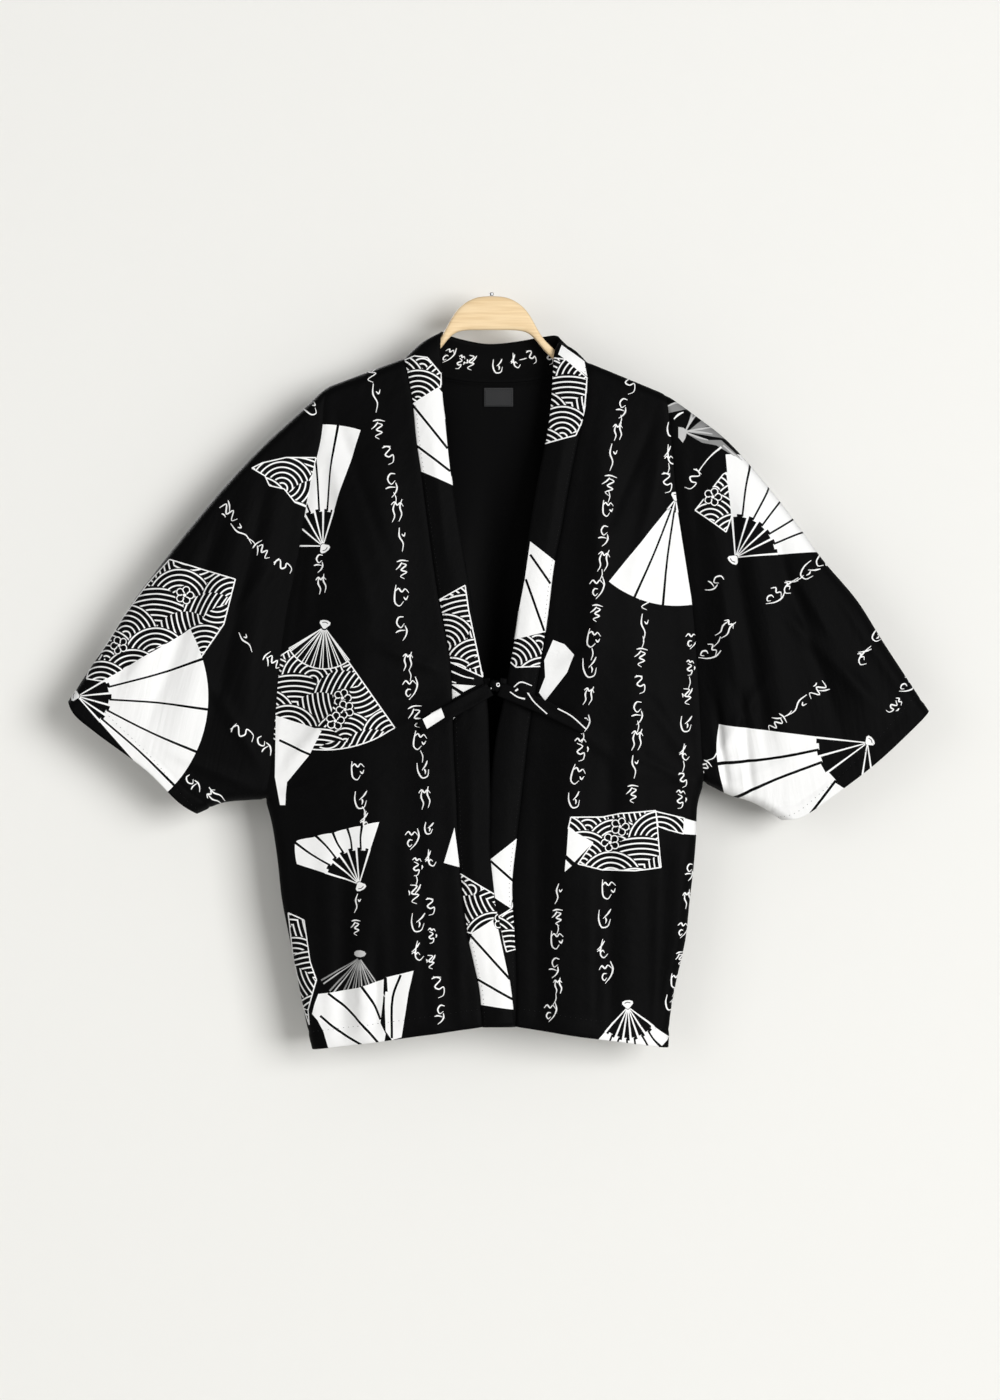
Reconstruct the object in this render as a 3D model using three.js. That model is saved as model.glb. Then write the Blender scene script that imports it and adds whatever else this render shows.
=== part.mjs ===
// A printed cotton kimono jacket that hangs flat from a plain wooden hanger.
// Millimetres, Z up. The front faces -Y and X runs to the viewer's right, so that "left" is
// the viewer's left. The origin is the top of the short steel stub over the hanger's hump.
import * as THREE from 'three';

// Cloth
const PANEL_WALL = 1.8;
const BAND_WALL = 2.6; // the collar band is cloth folded double
const TIE_WALL = 1.6;
const LABEL_WALL = 1;
const SEAM_GAP = 0.3;
const SEAM_SLACK = 0.2; // more gap at the curved seams, where the walls' insides lean together

// Depth of the hollow garment, measured from the middle plane to the outside of a panel
const ARMHOLE_DEPTH = 15;
const SHOULDER_DEPTH = 16;
const FRONT_DEPTH = 33;
const BACK_DEPTH = 31;
const SLEEVE_DEPTH = 25;
const CUFF_DEPTH = 20;
const ROUNDING = 14; // how far below a fold or beside a seam the wall is still rounding
const DEPTH_GROWTH = 220; // how far below the shoulder the body reaches its full depth
const EDGE_BLEND = 60; // how far from the collar band a front still follows its depth
const ARMHOLE_BLEND = 110; // how far from the armhole and side the body swells to its depth
const FOLD_BESIDE = 45; // how far from the armhole and side a fold reaches its height
const FOLD_BELOW = 60; // how far below the shoulder a fold reaches its height
const FOLD_TAPER = 0.3; // share of a fold's length over which each end fades
const SLEEVE_SWELL = 3.5; // a sleeve has its full depth at 1 / 3.5 of its length
const SLEEVE_FOLD_START = 5; // and its folds their full height at a fifth
const SLEEVE_FULLNESS = 0.7; // below 1, a sleeve's section is fuller than a sine
const CUFF_TAPER = 0.6; // share of a sleeve's length over which it thins to the cuff

// Mesh steps
const ROUND_STEPS = 4;
const ARMHOLE_STEPS = 9;
const SIDE_STEPS = 6;
const PANEL_STEPS = 8;
const SLEEVE_STEPS = 10;
const NECK_STEPS = 10;
const BAND_STEPS = 3;

// Collar band
const BAND_ROLL = 3; // how far its middle stands out from its two edges
const NECK_SLACK = 3 * SEAM_SLACK; // at the back neck, where the back leans in under the band

// Ties, knotted at chest height
const TIE_WIDTH = 15;
const ROOT_WIDTH = 11; // gathered where it goes into the knot
// waist is the share of its width that it is wide where a root enters it, to each side
const KNOT = { x: 4, y: -33, z: -450, width: 13, depth: 9, height: 15, waist: 0.48 };

// Neck label
const LABEL = { x: 8, top: -108, width: 33, height: 21, gap: 0.5 };

// Hanger
const WOOD_HALF_THICKNESS = 5.5;
const WOOD_SQUARENESS = 3; // 2 is an ellipse, and more is squarer
const WOOD_SIDES = 12;
const WOOD_END_SLIMNESS = 0.5; // the wood's tips are half as thick
const STUB_RADIUS = 2.2;
const STUB_HEIGHT = 3.5;

const COLOURS = {
  print: { color: 0x16161a, roughness: 0.9, metalness: 0 },
  label: { color: 0x45464a, roughness: 0.8, metalness: 0 },
  wood: { color: 0xe8c9a4, roughness: 0.5, metalness: 0 },
  steel: { color: 0x9a9ca0, roughness: 0.35, metalness: 1 },
};

const table = (columns, rows) =>
  rows.map((row) => Object.fromEntries(columns.map((name, k) => [name, row[k]])));

// Outline of the panels in the flat front view
const ARMHOLE = {
  left: table(['x', 'z'], [
    [-190, -109], [-194, -165], [-203, -205], [-213, -255], [-222, -310], [-234, -370],
    [-242, -430], [-247, -490], [-252, -545], [-259, -580],
  ]),
  right: table(['x', 'z'], [
    [200, -117], [206, -181], [211, -237], [218, -280], [229, -360], [234, -421],
    [238, -490], [240, -530], [243, -561],
  ]),
};
const SIDE = {
  left: table(['x', 'z'], [
    [-259, -580], [-252, -605], [-245, -649], [-240, -694], [-231, -740], [-222, -785],
    [-213, -831], [-205, -865],
  ]),
  right: table(['x', 'z'], [
    [243, -561], [236, -585], [234, -626], [231, -660], [227, -694], [222, -740], [211, -790],
    [204, -831], [202, -863],
  ]),
};
const SLEEVE_TOP = {
  left: table(['x', 'z'], [
    [-190, -109], [-218, -136], [-256, -170], [-299, -215], [-338, -261], [-375, -307],
    [-409, -352], [-438, -398], [-466, -440], [-484, -468],
  ]),
  right: table(['x', 'z'], [
    [200, -117], [236, -143], [270, -170], [317, -223], [348, -263], [380, -307],
    [418, -352], [447, -398], [477, -444], [500, -479],
  ]),
};
const SLEEVE_UNDER = {
  left: table(['x', 'z'], [[-259, -580], [-280, -581], [-308, -584], [-337, -596]]),
  right: table(['x', 'z'], [[243, -561], [272, -575], [300, -584], [332, -603]]),
};
const CUFF = {
  left: table(['x', 'z'], [
    [-484, -468], [-475, -483], [-451, -503], [-392, -547], [-356, -583], [-337, -596],
  ]),
  right: table(['x', 'z'], [
    [500, -479], [479, -500], [439, -537], [388, -576], [352, -600], [332, -603],
  ]),
};

// The collar band, by the edge sewn to the panels and the free edge. The first row is at the
// shoulder, and y is the depth of both edges.
const BAND_FRONT = {
  left: table(['seamX', 'seamZ', 'freeX', 'freeZ', 'y'], [
    [-99, -75, -59, -46, 0], [-99, -76, -59, -46.5, -6], [-99, -79, -59, -51, -11],
    [-98, -84, -59, -62, -13.5], [-95, -96, -58, -84, -15],
    [-89, -130, -56, -124, -18], [-85, -170, -50, -168, -21], [-79, -210, -46, -210, -24],
    [-70, -278, -36, -278, -26], [-61, -341, -25, -341, -27], [-46, -426, -11, -431, -28],
    [-44, -466, -5, -472, -30], [-42, -523, -3, -523, -33], [-39, -580, -2, -580, -34],
    [-37, -637, -2, -637, -34], [-33, -683, 2, -683, -34], [-27, -731, 11, -731, -34],
    [-20, -763, 17, -765, -34], [-13, -796, 22, -797, -34], [-10, -837, 26, -835, -34],
  ]),
  right: table(['seamX', 'seamZ', 'freeX', 'freeZ', 'y'], [
    [108, -79, 78, -57, 0], [109, -80, 77, -58, -6], [110, -83, 74, -64, -11],
    [110, -88, 71.5, -75, -13.5], [109, -99, 70, -92, -15],
    [107, -130, 68, -126, -18], [99, -166, 63, -166, -21], [87, -227, 51, -227, -24],
    [78, -278, 42, -281, -26], [71, -312, 36, -322, -26], [63, -375, 29, -381, -27],
    [56, -421, 21, -429, -27], [48, -466, 13, -472, -27], [42, -502, 6, -506, -27],
    [36, -557, -1, -560, -28], [29, -618, -7, -620, -29], [23, -677, -13, -679, -29],
    [26, -728, -11, -731, -29], [28, -790, -9, -790, -29], [27, -837, -9, -837, -29],
  ]),
};
const BAND_BACK = table(['seamX', 'seamZ', 'freeX', 'freeZ', 'freeY'], [
  [-99, -75, -59, -46, 0], [-94, -80, -57, -44, 7], [-82, -88, -50, -48, 12],
  [-47, -98, -29, -54, 15], [-2, -102, -2, -58, 16], [44, -100, 31, -55, 15],
  [74, -93, 60, -50, 12], [94, -85, 76, -49, 7], [108, -79, 78, -57, 0],
]);

// Largest folds: soft ridges that stand out of a panel along a line in the front view
const FOLDS = {
  frontLeft: table(['x0', 'z0', 'x1', 'z1', 'width', 'height'], [
    [-150, -100, -165, -600, 38, 5], [-128, -480, -142, -960, 22, 5],
    [-72, -430, -60, -960, 15, 4], [-190, -590, -186, -960, 13, 4],
  ]),
  frontRight: table(['x0', 'z0', 'x1', 'z1', 'width', 'height'], [
    [122, -80, 112, -500, 13, 4], [84, -440, 100, -980, 30, 6],
    [168, -320, 160, -980, 18, 5], [188, -130, 204, -420, 14, 3],
  ]),
  back: table(['x0', 'z0', 'x1', 'z1', 'width', 'height'], [
    [-150, -110, -162, -960, 24, 5], [-72, -130, -88, -980, 18, 5], [4, -110, -8, -980, 26, 6],
    [78, -130, 66, -980, 20, 4], [150, -120, 148, -980, 24, 6],
  ]),
  sleeveLeft: table(['x0', 'z0', 'x1', 'z1', 'width', 'height'], [
    [-225, -150, -290, -560, 18, 5], [-262, -190, -372, -560, 16, 5],
    [-320, -260, -430, -500, 15, 4],
  ]),
  sleeveRight: table(['x0', 'z0', 'x1', 'z1', 'width', 'height'], [
    [238, -150, 268, -560, 17, 5], [282, -200, 348, -580, 17, 6],
    [336, -270, 442, -520, 16, 5],
  ]),
};

// Upper and lower edge of the hanger's wood, from its middle out to one end
const WOOD = table(['x', 'top', 'bottom'], [
  [0, -3.4, -43.5], [14, -3.8, -43.5], [26, -8, -43.5], [38, -17, -44.5], [46, -29, -49.5],
  [53, -43, -57.5], [60, -54, -67], [74, -67, -80], [94, -82, -94], [130, -94, -108],
  [165, -105.5, -119], [190, -116, -129], [204, -126, -137], [209, -132, -138],
]);

const clamp01 = (t) => Math.min(Math.max(t, 0), 1);
const smooth = (t) => clamp01(t) ** 2 * (3 - 2 * clamp01(t));
const { lerp } = THREE.MathUtils;

// From 0 at a fold or a seam to 1 where the wall has turned a quarter circle
const rounded = (distance) => Math.sqrt(1 - (1 - clamp01(distance / ROUNDING)) ** 2);
const roundingSteps = Array.from({ length: ROUND_STEPS + 1 }, (_, k) =>
  ROUNDING * (1 - Math.cos((k * Math.PI) / 2 / ROUND_STEPS)));

const curveOf = (rows, x = 'x', z = 'z') => new THREE.CatmullRomCurve3(
  rows.map((row) => new THREE.Vector3(row[x], 0, row[z])), false, 'centripetal');
const pointAt = (curve, distance) => curve.getPointAt(clamp01(distance / curve.getLength()));

function foldHeight(folds, x, z) {
  let sum = 0;
  for (const { x0, z0, x1, z1, width, height } of folds) {
    const length = Math.hypot(x1 - x0, z1 - z0);
    const along = ((x - x0) * (x1 - x0) + (z - z0) * (z1 - z0)) / length ** 2;
    const across = ((x - x0) * (z1 - z0) - (z - z0) * (x1 - x0)) / length;
    const fade = smooth(along / FOLD_TAPER) * smooth((1 - along) / FOLD_TAPER);
    sum += height * fade * Math.exp(-((across / width) ** 2));
  }
  return sum;
}

// The rows of one half of the body: how far each lies below the shoulder at the armhole and
// side, and at the collar band
function bodyRows(side) {
  const armhole = curveOf(ARMHOLE[side]);
  const seam = curveOf(SIDE[side]);
  const band = curveOf(BAND_FRONT[side], 'seamX', 'seamZ');
  const armLength = armhole.getLength();
  const total = armLength + seam.getLength();
  const outer = [...roundingSteps];
  for (let k = 1; k < ARMHOLE_STEPS; k += 1) {
    outer.push(lerp(ROUNDING, armLength - ROUNDING, k / ARMHOLE_STEPS));
  }
  outer.push(...roundingSteps.map((d) => armLength - d).reverse());
  const underarm = outer.length - 1;
  for (let k = 1; k <= SIDE_STEPS; k += 1) outer.push(lerp(armLength, total, k / SIDE_STEPS));
  const last = outer.length - 1;
  const inner = outer.map((distance, i) => {
    if (i <= ROUND_STEPS) return distance;
    const bySize = (distance - ROUNDING) / (total - ROUNDING);
    const byCount = (i - ROUND_STEPS) / (last - ROUND_STEPS);
    return lerp(ROUNDING, band.getLength(), (bySize + byCount) / 2);
  });
  const sidePoint = (i) => (i <= underarm
    ? pointAt(armhole, outer[i]) : pointAt(seam, outer[i] - armLength));
  return { armhole, band, armLength, outer, inner, underarm, last, sidePoint };
}
const ROWS = { left: bodyRows('left'), right: bodyRows('right') };

// Fractions of a row's width, from the inner edge to the side, close together at the side
function panelColumns(width) {
  const even = Array.from({ length: PANEL_STEPS }, (_, k) =>
    ((width - ROUNDING) * k) / PANEL_STEPS / width);
  return [...even, ...roundingSteps.map((d) => 1 - d / width).reverse()];
}

// Half depth of the body. below is the distance to the shoulder line, beside the distance to
// the armhole or side, and seam the distance to the closed side seam.
function bodyDepth({ full, folds, x, z, below, beside, seam }) {
  const belly = lerp(SHOULDER_DEPTH, full, smooth(below / DEPTH_GROWTH));
  const core = lerp(ARMHOLE_DEPTH, belly, smooth(beside / ARMHOLE_BLEND));
  const fold = foldHeight(folds, x, z) * smooth(beside / FOLD_BESIDE) * smooth(below / FOLD_BELOW);
  return (core + fold) * rounded(below) * rounded(seam);
}
function besideSeam(rows, i, beside) {
  const above = Math.max(rows.armLength - rows.outer[i], 0);
  return Math.hypot(beside, above);
}

function frontGrid(side, folds) {
  const rows = ROWS[side];
  const depths = curveOf(BAND_FRONT[side].map((r) => ({ x: r.y, z: r.seamZ })));
  return rows.outer.map((outer, i) => {
    const inner = pointAt(rows.band, rows.inner[i]);
    const edge = bandEdges(side, rows.inner[i]).seam;
    const outside = rows.sidePoint(i);
    const width = inner.distanceTo(outside);
    return panelColumns(width).map((u) => {
      const p = inner.clone().lerp(outside, u);
      const below = lerp(rows.inner[i], outer, u);
      const beside = width * (1 - u);
      const seam = besideSeam(rows, i, beside);
      const depth = bodyDepth({ full: FRONT_DEPTH, folds, x: p.x, z: p.z, below, beside, seam });
      p.y = lerp(edge.y, -depth, smooth((width * u) / EDGE_BLEND));
      return p;
    });
  });
}

// Both edges of the band at a distance below the shoulder, along its sewn edge
function bandEdges(side, distance) {
  const rows = BAND_FRONT[side];
  const seam = ROWS[side].band;
  const t = seam.getUtoTmapping(0, distance);
  const free = curveOf(rows, 'freeX', 'freeZ').getPoint(t);
  const at = seam.getPoint(t);
  const place = t * (rows.length - 1);
  const k = Math.min(Math.floor(place), rows.length - 2);
  at.y = lerp(rows[k].y, rows[k + 1].y, place - k);
  free.y = at.y;
  return { seam: at, free };
}

function neckEdges(fraction) {
  const seam = curveOf(BAND_BACK, 'seamX', 'seamZ');
  const free = new THREE.CatmullRomCurve3(
    BAND_BACK.map((r) => new THREE.Vector3(r.freeX, r.freeY, r.freeZ)), false, 'centripetal');
  const t = seam.getUtoTmapping(fraction);
  const at = seam.getPoint(t);
  const ends = [BAND_BACK[0], BAND_BACK[BAND_BACK.length - 1]];
  const across = (at.x - ends[0].seamX) / (ends[1].seamX - ends[0].seamX);
  const below = lerp(ends[0].seamZ, ends[1].seamZ, across) - at.z;
  at.y = SHOULDER_DEPTH * rounded(below);
  return { seam: at, free: free.getPoint(t), below };
}
const NECK = Array.from({ length: NECK_STEPS + 1 }, (_, k) =>
  neckEdges((1 - Math.cos((k * Math.PI) / NECK_STEPS)) / 2));

// The back has the fronts' columns beyond the neck and the band's columns below it
const BACK_INNER = { left: -62, right: 66 }; // x of the lines below the two neck points, at the hem
const BACK_HEM = -838;
function backGrid(folds) {
  const { left, right } = ROWS;
  return left.outer.map((_, i) => {
    const half = (side) => {
      const rows = ROWS[side];
      const reach = rows.inner[i] / rows.inner[rows.last];
      const neck = BAND_FRONT[side][0];
      const inner = new THREE.Vector3(
        lerp(neck.seamX, BACK_INNER[side], smooth(reach)), 0, lerp(neck.seamZ, BACK_HEM, reach));
      const outside = rows.sidePoint(i);
      const width = inner.distanceTo(outside);
      return panelColumns(width).map((u) => {
        const p = inner.clone().lerp(outside, u);
        const below = lerp(rows.inner[i], rows.outer[i], u);
        const beside = width * (1 - u);
        const seam = besideSeam(rows, i, beside);
        p.y = bodyDepth({ full: BACK_DEPTH, folds, x: p.x, z: p.z, below, beside, seam });
        return p;
      });
    };
    const ends = { left: half('left'), right: half('right') };
    const reach = (left.inner[i] / left.inner[left.last] + right.inner[i] / right.inner[right.last]) / 2;
    const middle = NECK.slice(1, -1).map((neck) => {
      const across = (neck.seam.x - NECK[0].seam.x) / (NECK[NECK_STEPS].seam.x - NECK[0].seam.x);
      const x = lerp(neck.seam.x, lerp(BACK_INNER.left, BACK_INNER.right, across), smooth(reach));
      const z = lerp(neck.seam.z, BACK_HEM, reach);
      const below = neck.below + (neck.seam.z - z);
      const beside = Math.min(x - ends.left.at(-1).x, ends.right.at(-1).x - x);
      const y = bodyDepth({ full: BACK_DEPTH, folds, x, z, below, beside, seam: beside });
      return new THREE.Vector3(x, y, z);
    });
    return [...ends.left.reverse(), ...middle, ...ends.right];
  });
}

// A sleeve is a flattened tube. Its columns run round it, from the top fold down the front,
// round the under seam and up the back, and its rows run from the armhole to the cuff.
function sleeveGrid(side, folds) {
  const top = curveOf(SLEEVE_TOP[side]);
  const under = curveOf(SLEEVE_UNDER[side]);
  const cuff = curveOf(CUFF[side]);
  const { armhole, armLength } = ROWS[side];
  const corners = [top.getPoint(0), under.getPoint(0), top.getPoint(1), under.getPoint(1)];
  const grid = [];
  for (let row = 0; row <= SLEEVE_STEPS; row += 1) {
    const s = row / SLEEVE_STEPS;
    const length = lerp(armLength, cuff.getLength(), s);
    const steps = [...roundingSteps];
    for (let k = 1; k < ARMHOLE_STEPS; k += 1) {
      steps.push(lerp(ROUNDING, length - ROUNDING, k / ARMHOLE_STEPS));
    }
    steps.push(...roundingSteps.map((d) => length - d).reverse());
    const ring = (face) => steps.map((distance) => {
      const t = distance / length;
      const p = armhole.getPointAt(t).multiplyScalar(1 - s);
      p.addScaledVector(cuff.getPointAt(t), s);
      p.addScaledVector(top.getPointAt(s), 1 - t).addScaledVector(under.getPointAt(s), t);
      p.addScaledVector(corners[0], -(1 - s) * (1 - t)).addScaledVector(corners[1], -(1 - s) * t);
      p.addScaledVector(corners[2], -s * (1 - t)).addScaledVector(corners[3], -s * t);
      const belly = lerp(SLEEVE_DEPTH, CUFF_DEPTH, smooth((s - 1 + CUFF_TAPER) / CUFF_TAPER));
      const swell = smooth(s * SLEEVE_SWELL) * Math.sin(Math.PI * t) ** SLEEVE_FULLNESS;
      const core = lerp(ARMHOLE_DEPTH, belly, swell);
      const fold = foldHeight(folds, p.x, p.z) * smooth(s * SLEEVE_FOLD_START);
      p.y = face * (core + fold) * rounded(distance) * rounded(length - distance);
      return p;
    });
    grid.push([...ring(-1), ...ring(1).slice(1, -1).reverse()]);
  }
  return grid;
}

// The whole band: up the left front, round the back of the neck and down the right front
function bandGrid() {
  const front = (side) => ROWS[side].inner.map((distance) => bandEdges(side, distance));
  const left = front('left').reverse();
  const rows = [...left, ...NECK.slice(1, -1), ...front('right')];
  const across = Array.from({ length: BAND_STEPS + 1 }, (_, k) => k / BAND_STEPS);
  const flat = rows.map(({ seam, free }) => across.map((q) => seam.clone().lerp(free, q)));
  const normals = surfaceNormals(flat, false, 1);
  return flat.map((row, i) => row.map((p, j) =>
    p.addScaledVector(normals[i][j], BAND_ROLL * Math.sin(Math.PI * across[j]))));
}

// Unit normals of a grid of points; wrap joins its last column to its first
function surfaceNormals(grid, wrap, sign) {
  const lastRow = grid.length - 1;
  const count = grid[0].length;
  return grid.map((row, i) => row.map((_, j) => {
    const down = grid[Math.min(i + 1, lastRow)][j].clone().sub(grid[Math.max(i - 1, 0)][j]);
    const next = wrap ? (j + 1) % count : Math.min(j + 1, count - 1);
    const before = wrap ? (j + count - 1) % count : Math.max(j - 1, 0);
    const along = row[next].clone().sub(row[before]);
    return along.cross(down).normalize().multiplyScalar(sign);
  }));
}

// Gives two edges that are sewn together the same normals, so that their walls don't cross
function share(first, second) {
  first.forEach((normal, k) => {
    normal.add(second[k]).normalize();
    second[k].copy(normal);
  });
}
const upright = (normals) => normals.forEach((normal) => normal.setY(0).normalize());
const column = (grid, j) => grid.map((row) => row.at(j));

// Draws an edge back from its seam by half the gap, towards the next points of its own sheet
function drawBack(edge, next, slack = 0) {
  edge.forEach((p, k) => {
    const step = next[k].clone().sub(p);
    p.addScaledVector(step.normalize(), (SEAM_GAP + slack) / 2);
  });
}

// A closed wall between a grid of outside points and the same points moved in
function wall(grid, normals, thickness, wrap = false) {
  const rows = grid.length;
  const count = grid[0].length;
  const half = rows * count;
  const positions = [];
  for (const inward of [0, thickness]) {
    grid.forEach((row, i) => row.forEach((p, j) => {
      positions.push(...p.clone().addScaledVector(normals[i][j], -inward));
    }));
  }
  const index = [];
  const id = (i, j) => i * count + (j % count);
  const quad = (a, b, c, d) => index.push(a, b, c, a, c, d);
  const columns = wrap ? count : count - 1;
  for (let i = 0; i < rows - 1; i += 1) {
    for (let j = 0; j < columns; j += 1) {
      const [a, b, c, d] = [id(i, j), id(i, j + 1), id(i + 1, j + 1), id(i + 1, j)];
      quad(a, b, c, d);
      quad(half + a, half + d, half + c, half + b);
    }
    if (!wrap) {
      const [a, d] = [id(i, 0), id(i + 1, 0)];
      quad(d, half + d, half + a, a);
      const [b, c] = [id(i, count - 1), id(i + 1, count - 1)];
      quad(b, half + b, half + c, c);
    }
  }
  for (let j = 0; j < columns; j += 1) {
    const [a, b] = [id(0, j), id(0, j + 1)];
    quad(a, half + a, half + b, b);
    const [d, c] = [id(rows - 1, j), id(rows - 1, j + 1)];
    quad(c, half + c, half + d, d);
  }
  const facesIn = surfaceNormals(grid, wrap, 1)[1][1].dot(normals[1][1]) < 0;
  const geometry = new THREE.BufferGeometry();
  geometry.setAttribute('position', new THREE.Float32BufferAttribute(positions, 3));
  geometry.setIndex(facesIn ? flipped(index) : index);
  geometry.computeVertexNormals();
  return geometry;
}
function flipped(index) {
  const out = [];
  for (let k = 0; k < index.length; k += 3) out.push(index[k], index[k + 2], index[k + 1]);
  return out;
}

// A flat tape along a route, with its width upright to the route in the front view
function tapeGrid(route, width) {
  const curve = new THREE.CatmullRomCurve3(route.map((p) => new THREE.Vector3(...p)));
  const steps = 2 * (route.length - 1);
  return Array.from({ length: steps + 1 }, (_, k) => {
    const middle = curve.getPointAt(k / steps);
    const along = curve.getTangentAt(k / steps);
    const across = new THREE.Vector3(along.z, 0, -along.x).normalize();
    return [-1, 0, 1].map((side) => middle.clone().addScaledVector(across, (side * width) / 2));
  });
}

const group = new THREE.Group();
function add(name, geometry, look) {
  const mesh = new THREE.Mesh(geometry, new THREE.MeshStandardMaterial(COLOURS[look]));
  mesh.name = name;
  group.add(mesh);
}

// The five panels and the band, made together because their seams share points and normals
function addJacket() {
  const { underarm } = ROWS.left;
  const band = bandGrid();
  const bandNormals = surfaceNormals(band, false, 1);
  const back = backGrid(FOLDS.back);
  const backNormals = surfaceNormals(back, false, 1);
  const bandRows = ROWS.left.last;
  const bandSeam = column(bandNormals, 0);
  const fronts = {};
  const sleeves = {};
  for (const side of ['left', 'right']) {
    const mirror = side === 'left' ? 1 : -1;
    const cap = side === 'left' ? 'Left' : 'Right';
    const front = frontGrid(side, FOLDS[`front${cap}`]);
    const normals = surfaceNormals(front, false, mirror);
    const sleeve = sleeveGrid(side, FOLDS[`sleeve${cap}`]);
    const sleeveNormals = surfaceNormals(sleeve, true, -mirror);
    const backEdge = column(backNormals, side === 'left' ? 0 : -1);
    upright(normals[0]);
    upright(column(normals, -1).slice(underarm));
    upright(backEdge.slice(underarm));
    const ring = sleeveNormals[0];
    share(column(normals, -1).slice(0, underarm + 1), ring.slice(0, underarm + 1));
    const backRing = [ring[0], ...ring.slice(underarm).reverse()];
    share(backEdge.slice(0, underarm + 1), backRing);
    for (const k of [0, underarm]) {
      ring[k].setY(0).normalize();
      normals[k].at(-1).copy(ring[k]);
      backEdge[k].copy(ring[k]);
    }
    const seam = side === 'left'
      ? bandSeam.slice(0, bandRows + 1).reverse() : bandSeam.slice(-bandRows - 1);
    share(column(normals, 0), seam);
    fronts[side] = { grid: front, normals };
    sleeves[side] = { grid: sleeve, normals: sleeveNormals };
  }
  const columns = fronts.left.grid[0].length;
  upright(backNormals[0].slice(0, columns));
  upright(backNormals[0].slice(-columns));
  share(backNormals[0].slice(columns, -columns), bandSeam.slice(bandRows + 1, -bandRows - 1));
  backNormals[0][columns - 1].copy(fronts.left.normals[0][0]);
  backNormals[0].at(-columns).copy(fronts.right.normals[0][0]);

  for (const side of ['left', 'right']) {
    const { grid, normals } = fronts[side];
    drawBack(grid[0], grid[1]);
    drawBack(column(grid, 0), column(grid, 1));
    drawBack(column(grid, -1), column(grid, -2), SEAM_SLACK);
    add(`front_${side}`, wall(grid, normals, PANEL_WALL), 'print');
    const sleeve = sleeves[side];
    drawBack(sleeve.grid[0], sleeve.grid[1], SEAM_SLACK);
    add(`sleeve_${side}`, wall(sleeve.grid, sleeve.normals, PANEL_WALL, true), 'print');
  }
  drawBack(back[0].slice(0, columns - 1), back[1]);
  drawBack(back[0].slice(columns - 1, 1 - columns), back[1].slice(columns - 1), NECK_SLACK);
  drawBack(back[0].slice(1 - columns), back[1].slice(1 - columns));
  drawBack(column(back, 0), column(back, 1), SEAM_SLACK);
  drawBack(column(back, -1), column(back, -2), SEAM_SLACK);
  add('back', wall(back, backNormals, PANEL_WALL), 'print');
  drawBack(column(band, 0), column(band, 1));
  add('collar_band', wall(band, bandNormals, BAND_WALL), 'print');
  return { back };
}

// The point of a sheet that lies behind a place in the front view
function pointOn(grid, x, z) {
  for (let i = 0; i < grid.length - 1; i += 1) {
    for (let j = 0; j < grid[0].length - 1; j += 1) {
      const [a, b, c, d] = [grid[i][j], grid[i][j + 1], grid[i + 1][j + 1], grid[i + 1][j]];
      for (const [p, q, r] of [[a, b, c], [a, c, d]]) {
        const flat = [p, q, r].map((v) => new THREE.Vector3(v.x, v.z, 0));
        const weights = new THREE.Vector3();
        THREE.Triangle.getBarycoord(new THREE.Vector3(x, z, 0), ...flat, weights);
        if (Math.min(weights.x, weights.y, weights.z) >= -1e-6) {
          return new THREE.Vector3().addScaledVector(p, weights.x)
            .addScaledVector(q, weights.y).addScaledVector(r, weights.z);
        }
      }
    }
  }
  throw new Error('no panel there');
}

// A woven tab on the inside of the back
function addLabel(back) {
  const steps = [0, 1 / 3, 2 / 3, 1];
  const grid = steps.map((down) => steps.map((across) => {
    const p = pointOn(back, LABEL.x + LABEL.width * (across - 0.5), LABEL.top - LABEL.height * down);
    p.y -= PANEL_WALL + LABEL.gap + LABEL_WALL;
    return p;
  }));
  const normals = grid.map((row) => row.map(() => new THREE.Vector3(0, -1, 0)));
  add('neck_label', wall(grid, normals, LABEL_WALL), 'label');
}

// The two tapes, each from the band's free edge to the knot and from there to its free end
function addTies() {
  const knotSide = KNOT.waist * KNOT.width;
  const tapes = [
    ['tie_root_left', ROOT_WIDTH,
      [[-7.9, -28.9, -448], [-4.5, -29.8, -447.6], [KNOT.x - knotSide, -30.8, -447.3]]],
    ['tie_root_right', ROOT_WIDTH,
      [[16.9, -27.6, -448], [13, -29, -447.6], [KNOT.x + knotSide, -30.8, -447.1]]],
    ['tie_end_left', TIE_WIDTH,
      [[-1.8, -36, -454], [-30, -39.5, -470], [-56, -40.5, -484], [-81, -40, -497]]],
    ['tie_end_right', TIE_WIDTH,
      [[9.8, -36, -454], [44, -39, -468], [76, -40.5, -482], [107, -41.5, -497]]],
  ];
  for (const [name, width, route] of tapes) {
    const grid = tapeGrid(route, width);
    const normals = surfaceNormals(grid, false, 1);
    const sign = normals[1][1].y > 0 ? -1 : 1;
    normals.flat().forEach((n) => n.multiplyScalar(sign));
    add(name, wall(grid, normals, TIE_WALL), 'print');
  }
  const knot = new THREE.SphereGeometry(0.5, 14, 8);
  knot.scale(KNOT.width, KNOT.depth, KNOT.height);
  knot.translate(KNOT.x, KNOT.y, KNOT.z);
  add('tie_knot', knot, 'print');
}

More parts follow.
